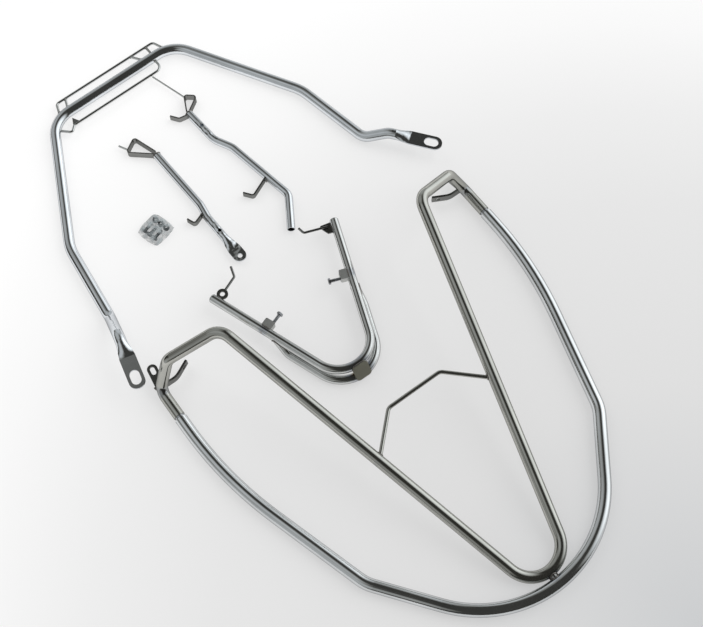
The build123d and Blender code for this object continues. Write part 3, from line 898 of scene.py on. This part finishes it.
@dataclass(frozen=True)
class FrontGuard:
    """The outer hoop, the V tube inside it and what is welded to them."""

    hoop_half_width: float = 329.0
    hoop_length: float = 582.0
    v_tube_d: float = 20.0
    v_half_spread: float = 15.0
    v_nose_radius: float = 51.0
    v_nose_gap: float = 2.4
    v_rise: float = 120.0
    v_corner_front: float = 16.4
    joint_gap: float = 5.0
    ankle_run: float = 59.0
    heel_in: float = 2.3
    heel_front: float = 4.7
    heel_up: float = 4.8
    arch_foot_back: float = 296.0
    arch_top_back: float = 352.0
    arch_top_half_width: float = 53.0
    arch_top_lift: float = 2.0
    arch_rod_d: float = 7.0
    arch_bead: float = 1.5
    spacer_d: float = 14.0
    spacer_bead: float = 1.4
    strap_height: float = 15.0
    strap_bead_run: float = 6.8
    strap_bead_in: float = 0.8
    strap_bead_level: float = 0.36
    lug_width: float = 18.0
    lug_bead_run: float = 7.0
    lug_bead_flare: float = 1.5
    lug_bead_out: float = 0.42
    lug_bead_back: float = 0.55
    bead: float = 1.9
    heel_heat: float = 20.0
    arch_heat: float = 15.0
    # Painted highlight: the hoop's steel colour is a lighter, bluer copy of the polished steel
    hoop_painted_highlight_colour: Colour = (0.80, 0.82, 0.83)
    # Painted shade: the V tube's steel colour is a darker, olive copy of the polished steel
    v_painted_shade_colour: Colour = (0.52, 0.52, 0.485)
    v_roughness: float = 0.09

    def nose_back(self) -> float:
        """Distance between the centre lines of the two noses."""
        return (HOOP_TUBE_D + self.v_tube_d) / 2 + self.v_nose_gap

    def ankle_back(self) -> float:
        """How far back the ankles' centre lines are."""
        return self.hoop_length + self.joint_gap + self.ankle_run

    def leg_point(self, distance: float, side: int) -> np.ndarray:
        """Point on a leg of the V.

        Args:
            distance: how far it is up the V's sloping plane from the nose.
            side: -1 for the left leg, 1 for the right.

        Returns:
            The point on the leg's centre line.
        """
        run = self.ankle_back() - self.v_corner_front - self.nose_back()
        climb = math.asin(self.v_rise / math.hypot(run, self.v_rise))
        spread = math.radians(self.v_half_spread)
        setback = self.v_nose_radius / math.sin(spread) - self.v_nose_radius
        return np.array([side * (distance + setback) * math.tan(spread),
                         self.nose_back() + distance * math.cos(climb),
                         self.v_tube_d / 2 + distance * math.sin(climb)])

    def heel(self, side: int) -> np.ndarray:
        """Middle of an ankle's bend, where the lug and strap are welded."""
        return np.array([side * (self.hoop_half_width - self.heel_in),
                         self.ankle_back() - self.heel_front, HOOP_TUBE_D / 2 + self.heel_up])

    def side_beads(self, side: int) -> list[Shape]:
        """Weld beads of one side.

        Args:
            side: -1 for the left side, 1 for the right.

        Returns:
            The beads at the arch's foot, the strap and the lug.
        """
        foot = self.leg_point(self.arch_foot_back, side)
        top = np.array([side * self.arch_top_half_width, self.arch_top_back + self.nose_back(),
                        foot[2] + self.arch_top_lift])
        leg = foot - self.leg_point(0, side)
        radii = (self.arch_rod_d / 2, self.v_tube_d / 2, self.arch_bead)
        made = [saddle_bead(foot, top - foot, leg, radii)]
        heel, edge = self.heel(side), self.v_tube_d / 2
        for way in (-1, 1):
            start = heel + [-side * edge * self.strap_bead_in,
                            self.heel_front - self.strap_bead_run / 2,
                            way * self.strap_height * self.strap_bead_level]
            made.append(line_bead(start, start + [0, self.strap_bead_run, 0], self.bead))
        for way in (-1, 1):
            start = heel + [way * self.lug_width * self.lug_bead_out, edge * self.lug_bead_back, 0]
            run = [way * self.lug_bead_flare, self.lug_bead_run, 0]
            made.append(line_bead(start, start + run, self.bead))
        return made

    def beads(self) -> list[Shape]:
        """All weld beads, with the two round the spacer between the noses.

        Returns:
            The beads.
        """
        z, rod = self.v_tube_d / 2, self.spacer_d / 2
        hoop_radii = (rod, HOOP_TUBE_D / 2, self.spacer_bead)
        v_radii = (rod, self.v_tube_d / 2, self.spacer_bead)
        return [
            *self.side_beads(-1), *self.side_beads(1),
            saddle_bead((0, 0, HOOP_TUBE_D / 2), (0, 1, 0), (1, 0, 0), hoop_radii),
            saddle_bead((0, self.nose_back(), z), (0, -1, 0), (1, 0, 0), v_radii),
        ]

    def heat(self) -> tuple[Spot, ...]:
        """Places and radii of the heat tint.

        Returns:
            The spots at the heels, the arch's feet and the nose.
        """
        spots = [(*self.heel(side), self.heel_heat) for side in (-1, 1)]
        spots += [(*self.leg_point(self.arch_foot_back, side), self.arch_heat) for side in (-1, 1)]
        spots.append((0.0, self.nose_back() / 2, self.v_tube_d / 2, self.heel_heat))
        return tuple(tuple(map(float, spot)) for spot in spots)

    def build(self) -> None:
        """Dress the CAD nodes of the front guard and add its weld beads."""
        spots = self.heat()
        # Painted highlight: the hoop gets the lighter, bluer copy of the polished steel
        outer = MetalFinish("polished_hoop_tube", Slot.POLISHED, self.hoop_painted_highlight_colour,
                            POLISHED.roughness, heat_spots=spots)
        # Painted shade: the V tube and arch rod get the darker, olive copy of the polished steel
        inner = MetalFinish("v_tube_painted_shade", Slot.POLISHED, self.v_painted_shade_colour, self.v_roughness,
                            heat_spots=spots)
        dress(outer, "front_outer_hoop")
        dress(inner, "front_inner_v_tube", "front_arch_rod")
        dress(DARK, "front_nose_spacer")
        for name, _ in SIDES:
            dress(ZINC, f"front_{name}_joint_spigot")
            dress(DARK, f"front_{name}_strap", f"front_{name}_lug")
        add_piece("front_weld_beads", joined(self.beads()), WELD)


@dataclass(frozen=True)
class RearHoop:
    """The rear hoop with its flattened ends and the rods of its tail."""

    place: Place = Place(-62.7, 1229.6, 0.0, 3.3)
    tube_d: float = 20.0
    corner_radius: float = 60.0
    corner_start: float = 102.0
    rod_d: float = 5.0
    outer_half_width: float = 112.0
    outer_offset: float = 29.0
    outer_splay: float = 12.0
    inner_right: float = 91.0
    struts: tuple[tuple[float, float], ...] = ((-92.0, -104.0), (95.0, 95.0), (59.0, 78.0))
    bead: float = 1.1
    presses: tuple[Spot, ...] = ((-337.0, 773.0, 10.0, 46.0), (310.0, 800.0, 10.0, 40.0))

    def beads(self) -> list[Shape]:
        """Weld beads at both ends of each tail rod.

        Returns:
            The beads, in the front guard's frame.
        """
        z = self.tube_d / 2
        on_tube = (self.rod_d / 2, self.tube_d / 2, self.bead)
        on_rod = (self.rod_d / 2, self.rod_d / 2, self.bead)
        made = []
        for side in (-1, 1):
            end_x = self.outer_half_width + self.outer_splay
            turn = math.asin((end_x - self.corner_start) / self.corner_radius)
            end = np.array([side * end_x, -self.corner_radius * (1 - math.cos(turn)), z])
            start = np.array([side * self.outer_half_width, self.outer_offset, z])
            tube = (math.cos(turn), -side * math.sin(turn), 0.0)
            made.append(saddle_bead(end, start - end, tube, on_tube))
        for outer_x, hoop_x in self.struts:
            outer = np.array([outer_x, self.outer_offset, z])
            hoop = np.array([hoop_x, 0.0, z])
            made.append(saddle_bead(hoop, outer - hoop, (1, 0, 0), on_tube))
            made.append(saddle_bead(outer, hoop - outer, (1, 0, 0), on_rod))
        made.append(saddle_bead((self.inner_right, 0, z), (0, -1, 0), (1, 0, 0), on_tube))
        return [self.place.put(shape) for shape in made]

    def build(self) -> None:
        """Dress the CAD nodes of the rear hoop and add its weld beads."""
        # Painted highlight: the rear hoop gets the lighter, bluer copy of the polished steel
        tube = MetalFinish("polished_rear_tube", Slot.POLISHED, PAINTED_HIGHLIGHT_STEEL, POLISHED.roughness,
                           dent_spots=self.presses)
        dress(tube, "rear_hoop")
        dress(POLISHED, "tail_outer_rod", "tail_inner_rod", "tail_left_strut", "tail_right_strut",
              "tail_right_brace")
        dress(DARK, "tail_inner_tab")
        add_piece("rear_weld_beads", joined(self.beads()), WELD)


@dataclass(frozen=True)
class Bumper:
    """The bumper with its rail, gusset, clamps, bolts, tabs and wires."""

    place: Place = Place(-37.2, 482.0, 24.6, -0.3)
    tube_d: float = 16.0
    length: float = 247.0
    half_spread: float = 20.4
    nose_radius: float = 55.5
    rail_drop: float = 16.6
    rail_side_offset: float = 8.0
    rail_nose_offset: float = 14.3
    rail_length: float = 122.0
    rail_end_run: float = 30.0
    rail_fit: float = 0.98
    plate_width: float = 30.0
    plate_margin: float = 3.0
    plate_bead_inset: float = 3.0
    plate_bead_out: float = 0.4
    clamp_back: float = 143.0
    clamp_length: float = 19.0
    clamp_depth: float = 12.0
    clamp_height: float = 14.0
    clamp_hole_offset: float = 4.5
    clamp_bead_inset: float = 1.0
    clamp_bead_out: float = 0.8
    bolt: HexBolt = HexBolt(length=26.0)
    bolt_grip: float = 8.0
    cap_rise: float = 3.5
    cap_fit: float = 0.985
    cap_rows: int = 9
    cap_columns: int = 32
    tab_bead: float = 1.2
    tab_bead_in: float = 0.4
    tab_bead_level: float = 1.9
    # Side, then where the beads of that end's tab start and stop along the leg
    tab_bead_runs: tuple[tuple[int, float, float], ...] = ((-1, -13.5, -5.5), (1, -20.0, -3.0))
    bead: float = 1.6
    nose_heat: Spot = (0.0, -8.0, -8.0, 34.0)
    clamp_heat: float = 17.0

    def leg_point(self, distance: float, offset: float = 0.0) -> np.ndarray:
        """Point on the right leg's line.

        Args:
            distance: how far back it is from the nose.
            offset: how far it is moved outwards, square to the leg.

        Returns:
            The point, level with the tube's centre line.
        """
        spread = math.radians(self.half_spread)
        setback = self.nose_radius / math.sin(spread) - self.nose_radius
        x = (distance + setback) * math.tan(spread)
        return np.array([x + offset * math.cos(spread), distance - offset * math.sin(spread), 0.0])

    def on_leg(self, points: Union[np.ndarray, Point], distance: float, side: int) -> np.ndarray:
        """Points made for a leg, put on it.

        Args:
            points: points whose +X is inwards and whose +Y is along the leg, away from the nose.
            distance: how far back their zero is.
            side: -1 for the left leg, 1 for the right.

        Returns:
            The points in the bumper's frame.
        """
        spread = math.radians(self.half_spread)
        inward = (-math.cos(spread), math.sin(spread), 0.0)
        along = (math.sin(spread), math.cos(spread), 0.0)
        moved = self.leg_point(distance) + np.asarray(points, float) @ np.array([inward, along, UP])
        return moved * [side, 1, 1]

    def rail_bead(self, side: int) -> Shape:
        """The bead round one end of the rail.

        Args:
            side: -1 for the left end, 1 for the right.

        Returns:
            The bead's vertices and faces.
        """
        root = self.leg_point(self.rail_length)
        turn = self.leg_point(self.rail_length - self.rail_end_run, self.rail_side_offset)
        leg = root - self.leg_point(0)
        radius = self.tube_d / 2
        points, faces = saddle_bead(root, turn - self.rail_drop * UP - root, leg,
                                    (radius * self.rail_fit, radius, self.bead))
        return points * [side, 1, 1], faces

    def beads(self) -> list[Shape]:
        """Weld beads at the rail's ends, the clamps, the gusset and the end tabs.

        Returns:
            The beads, in the front guard's frame.
        """
        made = []
        radius = self.tube_d / 2
        high, half_clamp = self.clamp_height / 2, self.clamp_length / 2 - self.clamp_bead_inset
        foot = math.sqrt(radius ** 2 - high ** 2) + self.clamp_bead_out
        for side in (-1, 1):
            made.append(self.rail_bead(side))
            for level in (-high, high):
                ends = [(foot, -half_clamp, level), (foot, half_clamp, level)]
                made.append(line_bead(*self.on_leg(ends, self.clamp_back, side), self.bead))
        lean = math.atan2(self.rail_drop, self.rail_nose_offset)
        reach = math.hypot(self.rail_nose_offset, self.rail_drop)
        outward = np.array([0.0, -math.sin(lean), math.cos(lean)])
        slope = np.array([0.0, -math.cos(lean), -math.sin(lean)])
        half = np.array([self.plate_width / 2 - self.plate_bead_inset, 0, 0])
        for share in (-self.plate_margin, reach + self.plate_margin):
            middle = outward * (radius + self.plate_bead_out) + slope * share
            made.append(line_bead(middle - half, middle + half, self.bead, outward))
        for side, near, far in self.tab_bead_runs:
            for level in (-self.tab_bead_level, self.tab_bead_level):
                ends = [(radius - self.tab_bead_in, y, level) for y in (near, far)]
                made.append(line_bead(*self.on_leg(ends, self.length, side), self.tab_bead))
        return [self.place.put(shape) for shape in made]

    def end_cap(self, side: int) -> Shape:
        """The low dome that closes one end of the tube.

        Its radius is the tube's times the cosine of the row's angle, and its rise is the dome's
        height times the sine, over a flat disc.

        Args:
            side: -1 for the left end, 1 for the right.

        Returns:
            The dome's vertices and faces, in the front guard's frame.
        """
        row = np.linspace(0, math.pi / 2, self.cap_rows)
        radius = np.concatenate([[0.0], self.tube_d / 2 * self.cap_fit * np.cos(row)])
        rise = np.concatenate([[0.0], self.cap_rise * np.sin(row)])
        radii = np.repeat(radius[:, None], self.cap_columns, axis=1)
        points, faces = turned(radii, rise[:, None], closed=False)
        upright = points[:, [0, 2, 1]] * [1, 1, -1]
        return self.place.put((self.on_leg(upright, self.length, side), faces))

    def clamp_bolt(self, side: int) -> Shape:
        """The threaded bolt of one clamp.

        Args:
            side: -1 for the left clamp, 1 for the right.

        Returns:
            The bolt's vertices and faces, in the front guard's frame.
        """
        start = self.tube_d / 2 + self.clamp_depth - self.bolt_grip
        ends = [(start, -self.clamp_hole_offset, 0.0), (start + 1, -self.clamp_hole_offset, 0.0)]
        tip, ahead = self.on_leg(ends, self.clamp_back, side)
        return self.place.put(laid_along(self.bolt.shape(), tip, ahead - tip))

    def heat(self) -> tuple[Spot, ...]:
        """Places and radii of the heat tint.

        Returns:
            The spots at the nose and the clamps, in the front guard's frame.
        """
        spots = [(self.nose_heat[:3], self.nose_heat[3])]
        spots += [(self.on_leg((0, 0, 0), self.clamp_back, side), self.clamp_heat)
                  for side in (-1, 1)]
        return tuple((*map(float, self.place.moved(spot)), radius) for spot, radius in spots)

    def build(self) -> None:
        """Dress the CAD nodes of the bumper, add its weld beads and thread its bolts."""
        tubes = MetalFinish("polished_bumper_tube", Slot.POLISHED, POLISHED.colour,
                            POLISHED.roughness, heat_spots=self.heat())
        dress(tubes, "bumper_main_tube", "bumper_lower_rail")
        dress(GUSSET, "bumper_nose_plate")
        dress(DARK, "bumper_left_ring_tab", "bumper_right_end_plate")
        for name, side in SIDES:
            dress(DARK, f"bumper_{name}_wire")
            dress(CLAMP, f"bumper_{name}_clamp")
            add_piece(f"bumper_{name}_threaded_bolt", self.clamp_bolt(side), ZINC,
                      replaces=[f"bumper_{name}_bolt"], smooth=False)
        add_piece("bumper_weld_beads", joined(self.beads()), WELD)
        add_piece("bumper_end_caps", joined(self.end_cap(side) for _, side in SIDES), POLISHED)


@dataclass(frozen=True)
class Stays:
    """The two stays with their loops, tabs and hooks."""

    left: Place = Place(-84.0, 1045.0, 7.5, 0.0)
    right: Place = Place(15.0, 1087.0, 7.5, 0.0)
    tube_d: float = 15.0
    left_start: tuple[float, float] = (7.0, -138.0)
    right_start: tuple[float, float] = (6.0, -78.0)
    left_tab: tuple[float, float] = (3.5, -155.0)
    right_tab: tuple[float, float] = (41.0, -204.0)
    tab_height: float = 12.0
    tab_bead: float = 1.4
    tab_bead_in: float = 0.93
    tab_bead_front: float = 4.0
    tab_bead_apart: float = 2.6
    tab_bead_level: float = 0.36
    ring_in: float = 1.2
    ring_bead: float = 1.1
    ring_rows: int = 64
    press_depth: float = 3.0
    presses: tuple[Spot, ...] = (
        (-79.0, 796.0, 8.0, 46.0), (-84.0, 845.0, 8.0, 30.0), (17.0, 1030.0, 8.0, 30.0))

    def tab_beads(self, tab: tuple[float, float]) -> list[Shape]:
        """The two upright beads where a tab leaves its tube.

        Args:
            tab: x and y of the tab's root.

        Returns:
            The beads in the stay's frame.
        """
        x, y = tab
        root = np.array([x - self.tube_d / 2 * self.tab_bead_in, y - self.tab_bead_front, 0.0])
        high = UP * self.tab_height * self.tab_bead_level
        spots = [root + [0, across, 0] for across in (-self.tab_bead_apart, self.tab_bead_apart)]
        return [line_bead(spot - high, spot + high, self.tab_bead, (0, 1, 0)) for spot in spots]

    def end_ring(self, first_point: tuple[float, float]) -> Shape:
        """The bead round a tube's first end, where its loop is welded on.

        A circle of the tube's radius lies square to the tube's direction, a little way in. Its
        underside is flat where the tube lies on the floor.

        Args:
            first_point: x and y of the tube's first corner.

        Returns:
            The bead in the stay's frame.
        """
        along = unit((*first_point, 0.0))
        angle = around(self.ring_rows)[:, None]
        ring = self.tube_d / 2 * (np.cos(angle) * np.cross(along, UP) + np.sin(angle) * UP)
        points, faces = bead_along(along * self.ring_in + ring, along, self.ring_bead, closed=True)
        points[:, 2] = np.maximum(points[:, 2], -self.tube_d / 2)
        return points, faces

    def beads(self) -> list[Shape]:
        """Weld beads where the tabs and loops leave the tubes.

        Returns:
            The beads, in the front guard's frame.
        """
        made = []
        for place, tab, start in ((self.left, self.left_tab, self.left_start),
                                  (self.right, self.right_tab, self.right_start)):
            made += [place.put(shape) for shape in (*self.tab_beads(tab), self.end_ring(start))]
        return made

    def build(self) -> None:
        """Dress the CAD nodes of the stays and add their weld beads."""
        # Painted highlight: the stay tubes get the lighter, bluer copy of the polished steel
        tubes = MetalFinish("polished_stay_tube", Slot.POLISHED, PAINTED_HIGHLIGHT_STEEL, POLISHED.roughness,
                            dent_spots=self.presses, dent_depth=self.press_depth)
        dress(tubes, "left_stay_tube", "right_stay_tube")
        dress(POLISHED, "right_stay_brace", "left_stay_pin")
        dress(DARK, "left_stay_loop", "left_stay_tab", "right_stay_loop", "right_stay_tab",
              "right_stay_hook")
        add_piece("stay_weld_beads", joined(self.beads()), WELD)


@dataclass(frozen=True)
class FastenerPouch:
    """The clear pouch and the bolts, nuts and washers in it."""

    place: Place = Place(-168.5, 915.2, 0.0, 15.8)
    length: float = 54.0
    width: float = 52.0
    height: float = 16.0
    film: float = 0.4
    gap: float = 0.4
    count: int = 3
    bolt: HexBolt = HexBolt(length=18.0, thread_length=14.0)
    nut: HexNut = HexNut()
    washer: Washer = Washer()
    bolt_tip_x: float = 4.0
    nut_x: float = 14.0
    washer_spread: float = 1.08
    rim: float = 0.5
    headroom: float = 1.3
    corner_pull: float = 0.13
    scallop: float = 0.012
    crease_depth: float = 1.1
    rows: int = 96

    def outline(self, u: np.ndarray, v: np.ndarray) -> tuple[np.ndarray, np.ndarray]:
        """Plan of the film.

        The grid's square is drawn in at its corners by the square of u times v, and its rim is
        scalloped by products of sines that only matter near the rim.

        Args:
            u: place along the pouch, from -1 to 1.
            v: place across the pouch, from -1 to 1.

        Returns:
            The points' x and y.
        """
        waves = 1 + np.sin(17 * u + 3 * v) * np.sin(15 * v)
        drawn = 1 - self.scallop * waves * np.maximum(u ** 8, v ** 8)
        drawn = drawn * (1 - self.corner_pull * (u * v) ** 2)
        return u * self.length / 2 * drawn, v * self.width / 2 * drawn

    def rise(self, u: np.ndarray, v: np.ndarray) -> np.ndarray:
        """Height of the upper sheet.

        It rises as a crowned pillow, the product of one less the sixth power of each place, with
        creases that are products of sines and fade out with the pillow, over a thin rim.

        Args:
            u: place along the pouch, from -1 to 1.
            v: place across the pouch, from -1 to 1.

        Returns:
            The points' heights.
        """
        dome = (1 - u ** 6) * (1 - v ** 6)
        crease = (0.5 * np.sin(9 * u + 4 * np.sin(3 * v)) * np.sin(7 * v + 2 * u)
                  + 0.35 * np.sin(16 * v - 6 * u * u) * np.sin(13 * u + 5 * v)
                  + 0.2 * np.abs(np.sin(23 * u * v + 4 * v)))
        edge = self.rim * (1 - np.maximum(u ** 40, v ** 40))
        return edge + dome * (self.height - self.headroom + crease * self.crease_depth)

    def pillow(self) -> Shape:
        """The film as two sheets, an upper and a flat lower one, joined at the rim.

        Returns:
            The film's vertices and faces, in the front guard's frame.
        """
        n = self.rows
        u, v = np.meshgrid(np.linspace(-1, 1, n), np.linspace(-1, 1, n), indexing="ij")
        x, y = self.outline(u, v)
        sheets = np.stack([(x, y, self.rise(u, v)), (x, y, 0 * x)])
        points = np.moveaxis(sheets, 1, -1).reshape(-1, 3)
        faces = grid_faces(n, n, False, False)
        index = np.arange(n * n).reshape(n, n)
        border = np.concatenate([index[0], index[1:, -1], index[-1, -2::-1], index[-2:0:-1, 0]])
        after = np.roll(border, -1)
        side = np.stack([after + n * n, border + n * n, border, after], axis=1)
        return self.place.put((points, np.vstack([faces[:, ::-1], faces + n * n, side])))

    def row_of(self, shape: Shape, x: float, z: float, spread: float = 1.0) -> Shape:
        """A row of equal shapes across the pouch.

        Args:
            shape: the shape.
            x: where the row lies along the pouch.
            z: how high the shapes' zero lies.
            spread: factor on the shapes' distance.

        Returns:
            All of them, in the front guard's frame.
        """
        pitch = (self.bolt.flats / math.cos(math.pi / 6) + self.gap) * spread
        middle = (self.count - 1) / 2
        return joined(self.place.put((shape[0] + [x, (number - middle) * pitch, z], shape[1]))
                      for number in range(self.count))

    def build(self) -> None:
        """Make the film and the fasteners in place of the CAD's plain ones."""
        bolt_z = self.film + self.bolt.flats / math.cos(math.pi / 6) / 2 + self.gap
        nut_z = self.film + self.washer.thickness + self.gap
        washer_z = self.film + self.gap / 2
        bolt = laid_along(self.bolt.shape(), (0, 0, 0), (-1, 0, 0))
        bolts = self.row_of(bolt, self.bolt_tip_x, bolt_z)
        nuts = self.row_of(self.nut.shape(), self.nut_x, nut_z, self.washer_spread)
        washers = self.row_of(self.washer.shape(), self.nut_x, washer_z, self.washer_spread)
        add_piece("pouch_bolts", bolts, BLACKENED, replaces=["pack_bolts"], smooth=False)
        add_piece("pouch_nuts", nuts, BLACKENED, replaces=["pack_nuts"], smooth=False)
        add_piece("pouch_washers", washers, ZINC, replaces=["pack_washers"])
        add_piece("pouch_film", self.pillow(), FILM, replaces=["fastener_pouch"])


# Studio

@dataclass(frozen=True)
class Lamp:
    """A far soft lamp: where it stands, how wide it looks and its light on what faces it."""

    name: str
    turn: float
    height: float
    width: float
    strength: float

    def build(self) -> None:
        """Add the lamp. Reflections don't show it, because the room gives them their light."""
        data = bpy.data.lights.new(self.name, "SUN")
        data.energy = self.strength
        data.angle = math.radians(self.width)
        lamp = bpy.data.objects.new(self.name, data)
        lamp.visible_glossy = False
        bpy.context.scene.collection.objects.link(lamp)
        towards = Vector(direction(self.turn, self.height).tolist())
        lamp.rotation_euler = towards.to_track_quat("Z", "Y").to_euler()


@dataclass(frozen=True)
class Wall:
    """A pale patch of the room that reflections show.

    Its level comes up while the cosine of the angle to its middle goes from start to end.
    """

    turn: float
    height: float
    start: float
    end: float
    level: float


@dataclass(frozen=True)
class Studio:
    """Camera, floor, lamps and surroundings. The floor's reach and its ramp are in metres."""

    image_width: float = 703.0
    focal_pixels: float = 1115.2
    sensor: float = 36.0
    azimuth: float = -36.57
    elevation: float = 65.92
    camera: Triple = (-457.82, -69.47, 1784.4)
    floor_reach: float = 9.0
    floor_roughness: float = 0.9
    floor_glow: float = 0.65
    # Painted shade: the floor's colour greys towards this corner, standing in for light falling off
    floor_painted_shade_corner: Triple = (138.0, -184.0, 0.0)
    floor_ramp_slope: float = 0.5
    floor_painted_shade_stops: tuple[Stop, ...] = (
        (0.0, (0.60, 0.61, 0.62)),
        (0.2, (0.735, 0.735, 0.735)),
        (0.38, (0.79, 0.79, 0.79)),
        (0.48, (0.85, 0.85, 0.85)),
        (0.58, (0.94, 0.94, 0.94)),
        (0.68, (1.0, 1.0, 1.0)),
    )
    lamps: tuple[Lamp, ...] = (
        Lamp("key", -15.0, 36.0, 58.0, 1.5),
        Lamp("fill", 95.0, 38.0, 34.0, 0.45),
    )
    ambient: float = 0.66
    dark_room: float = 0.045
    room_tones: tuple[Stop, ...] = ((0.0, (1.0, 0.99, 0.90)), (0.5, (0.95, 0.985, 1.0)))
    walls: tuple[Wall, ...] = (
        Wall(-8.0, 18.0, 0.64, 0.92, 1.35),
        Wall(153.0, 56.0, 0.87, 0.975, 0.5),
        Wall(-164.0, 34.0, 0.87, 0.98, 0.4),
        Wall(62.0, 8.0, 0.8, 0.97, 0.5),
        Wall(100.0, 35.0, 0.8, 0.97, 0.4),
        Wall(180.0, 4.0, 0.84, 0.97, 0.45),
    )

    def add_camera(self) -> None:
        """Camera at the photograph's viewing angle."""
        data = bpy.data.cameras.new("view")
        data.sensor_width = self.sensor
        data.lens = self.focal_pixels / self.image_width * self.sensor
        view = bpy.data.objects.new("view", data)
        bpy.context.scene.collection.objects.link(view)
        right = direction(self.azimuth, 0.0)
        back = direction(self.azimuth - 90.0, self.elevation)
        axes = np.stack([right, np.cross(back, right), back], axis=1)
        place = Matrix(axes.tolist()).to_4x4()
        place.translation = Vector(LAYOUT.metres(self.camera).tolist())
        view.matrix_world = place
        bpy.context.scene.camera = view

    def add_floor(self) -> None:
        """Pale floor, white towards the rear and left, with painted shade that greys its colour
        towards the near right corner.

        The camera, reflections and clear film see part of its own pale colour as a glow, so that
        its shadows stay light.
        """
        reach = self.floor_reach
        mesh = bpy.data.meshes.new("floor")
        corners = [(x * reach, y * reach, 0.0) for x, y in ((-1, -1), (1, -1), (1, 1), (-1, 1))]
        mesh.from_pydata(corners, [], [(0, 1, 2, 3)])
        floor = bpy.data.objects.new("floor", mesh)
        bpy.context.scene.collection.objects.link(floor)
        made, graph, shader = new_material("floor_paper")
        # Painted shade: the floor's colour is greyest at the near right corner and whitens away
        # from it
        corner = LAYOUT.metres(self.floor_painted_shade_corner).tolist()
        apart = graph.vector("DISTANCE", {0: graph.place(), 1: corner}, "Value")
        shade = graph.ramp(graph.math("MULTIPLY", apart, self.floor_ramp_slope), self.floor_painted_shade_stops)
        graph.feed(shader, {"Roughness": self.floor_roughness, "Specular IOR Level": 0.0,
                            "Base Color": shade})
        glow = graph.add("Emission", {"Color": shade}).outputs["Emission"]
        rays = graph.add("LightPath", {}).outputs
        seen = graph.largest([rays[f"Is {kind} Ray"] for kind in ("Camera", "Glossy",
                                                                  "Transmission")])
        share = graph.math("MULTIPLY", seen, self.floor_glow)
        graph.show("Material Output", share, shader.outputs["BSDF"], glow)
        mesh.materials.append(made)
        floor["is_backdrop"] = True

    def add_surroundings(self) -> None:
        """Even light on all surfaces, and a dark room with pale walls for reflections to show."""
        world = bpy.data.worlds.new("room")
        bpy.context.scene.world = world
        world.use_nodes = True
        graph = Graph(world.node_tree)
        rays = graph.add("LightPath", {}).outputs
        seen = graph.largest([rays["Is Camera Ray"], rays["Is Transmission Ray"]])
        sky = world.node_tree.nodes["Background"]
        graph.feed(sky, {"Color": (1.0, 1.0, 1.0, 1.0),
                         "Strength": graph.ranged(seen, 0.0, 1.0, self.ambient, 1.0)})
        way = graph.add("TexCoord", {}).outputs["Generated"]
        lobes = []
        for wall in self.walls:
            middle = direction(wall.turn, wall.height).tolist()
            facing = graph.vector("DOT_PRODUCT", {0: way, 1: middle}, "Value")
            lobes.append(graph.ranged(facing, wall.start, wall.end, 0.0, wall.level))
        light = graph.math("ADD", graph.largest(lobes), self.dark_room)
        tone = graph.ramp(light, self.room_tones)
        room = graph.add("Background", {"Color": tone, "Strength": light})
        graph.show("World Output", rays["Is Glossy Ray"], sky.outputs["Background"],
                   room.outputs["Background"])

    def build(self) -> None:
        """Set up everything round the object."""
        bpy.context.scene.view_settings.view_transform = "Standard"
        self.add_camera()
        self.add_floor()
        for lamp in self.lamps:
            lamp.build()
        self.add_surroundings()


def corners(box: Sequence[Point]) -> list[list[float]]:
    """A box's corners as plain lists."""
    return [[float(value) for value in corner] for corner in box]


def main() -> None:
    """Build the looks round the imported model."""
    logging.basicConfig(level=logging.INFO, format="%(name)s: %(message)s")
    cad_box = corners(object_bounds())
    Studio().build()
    for group in (FrontGuard(), RearHoop(), Bumper(), Stays(), FastenerPouch()):
        group.build()
        LOG.info("%s built", type(group).__name__)
    {"cad": cad_box, "scene": corners(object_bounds())}


if __name__ == "__main__":
    main()
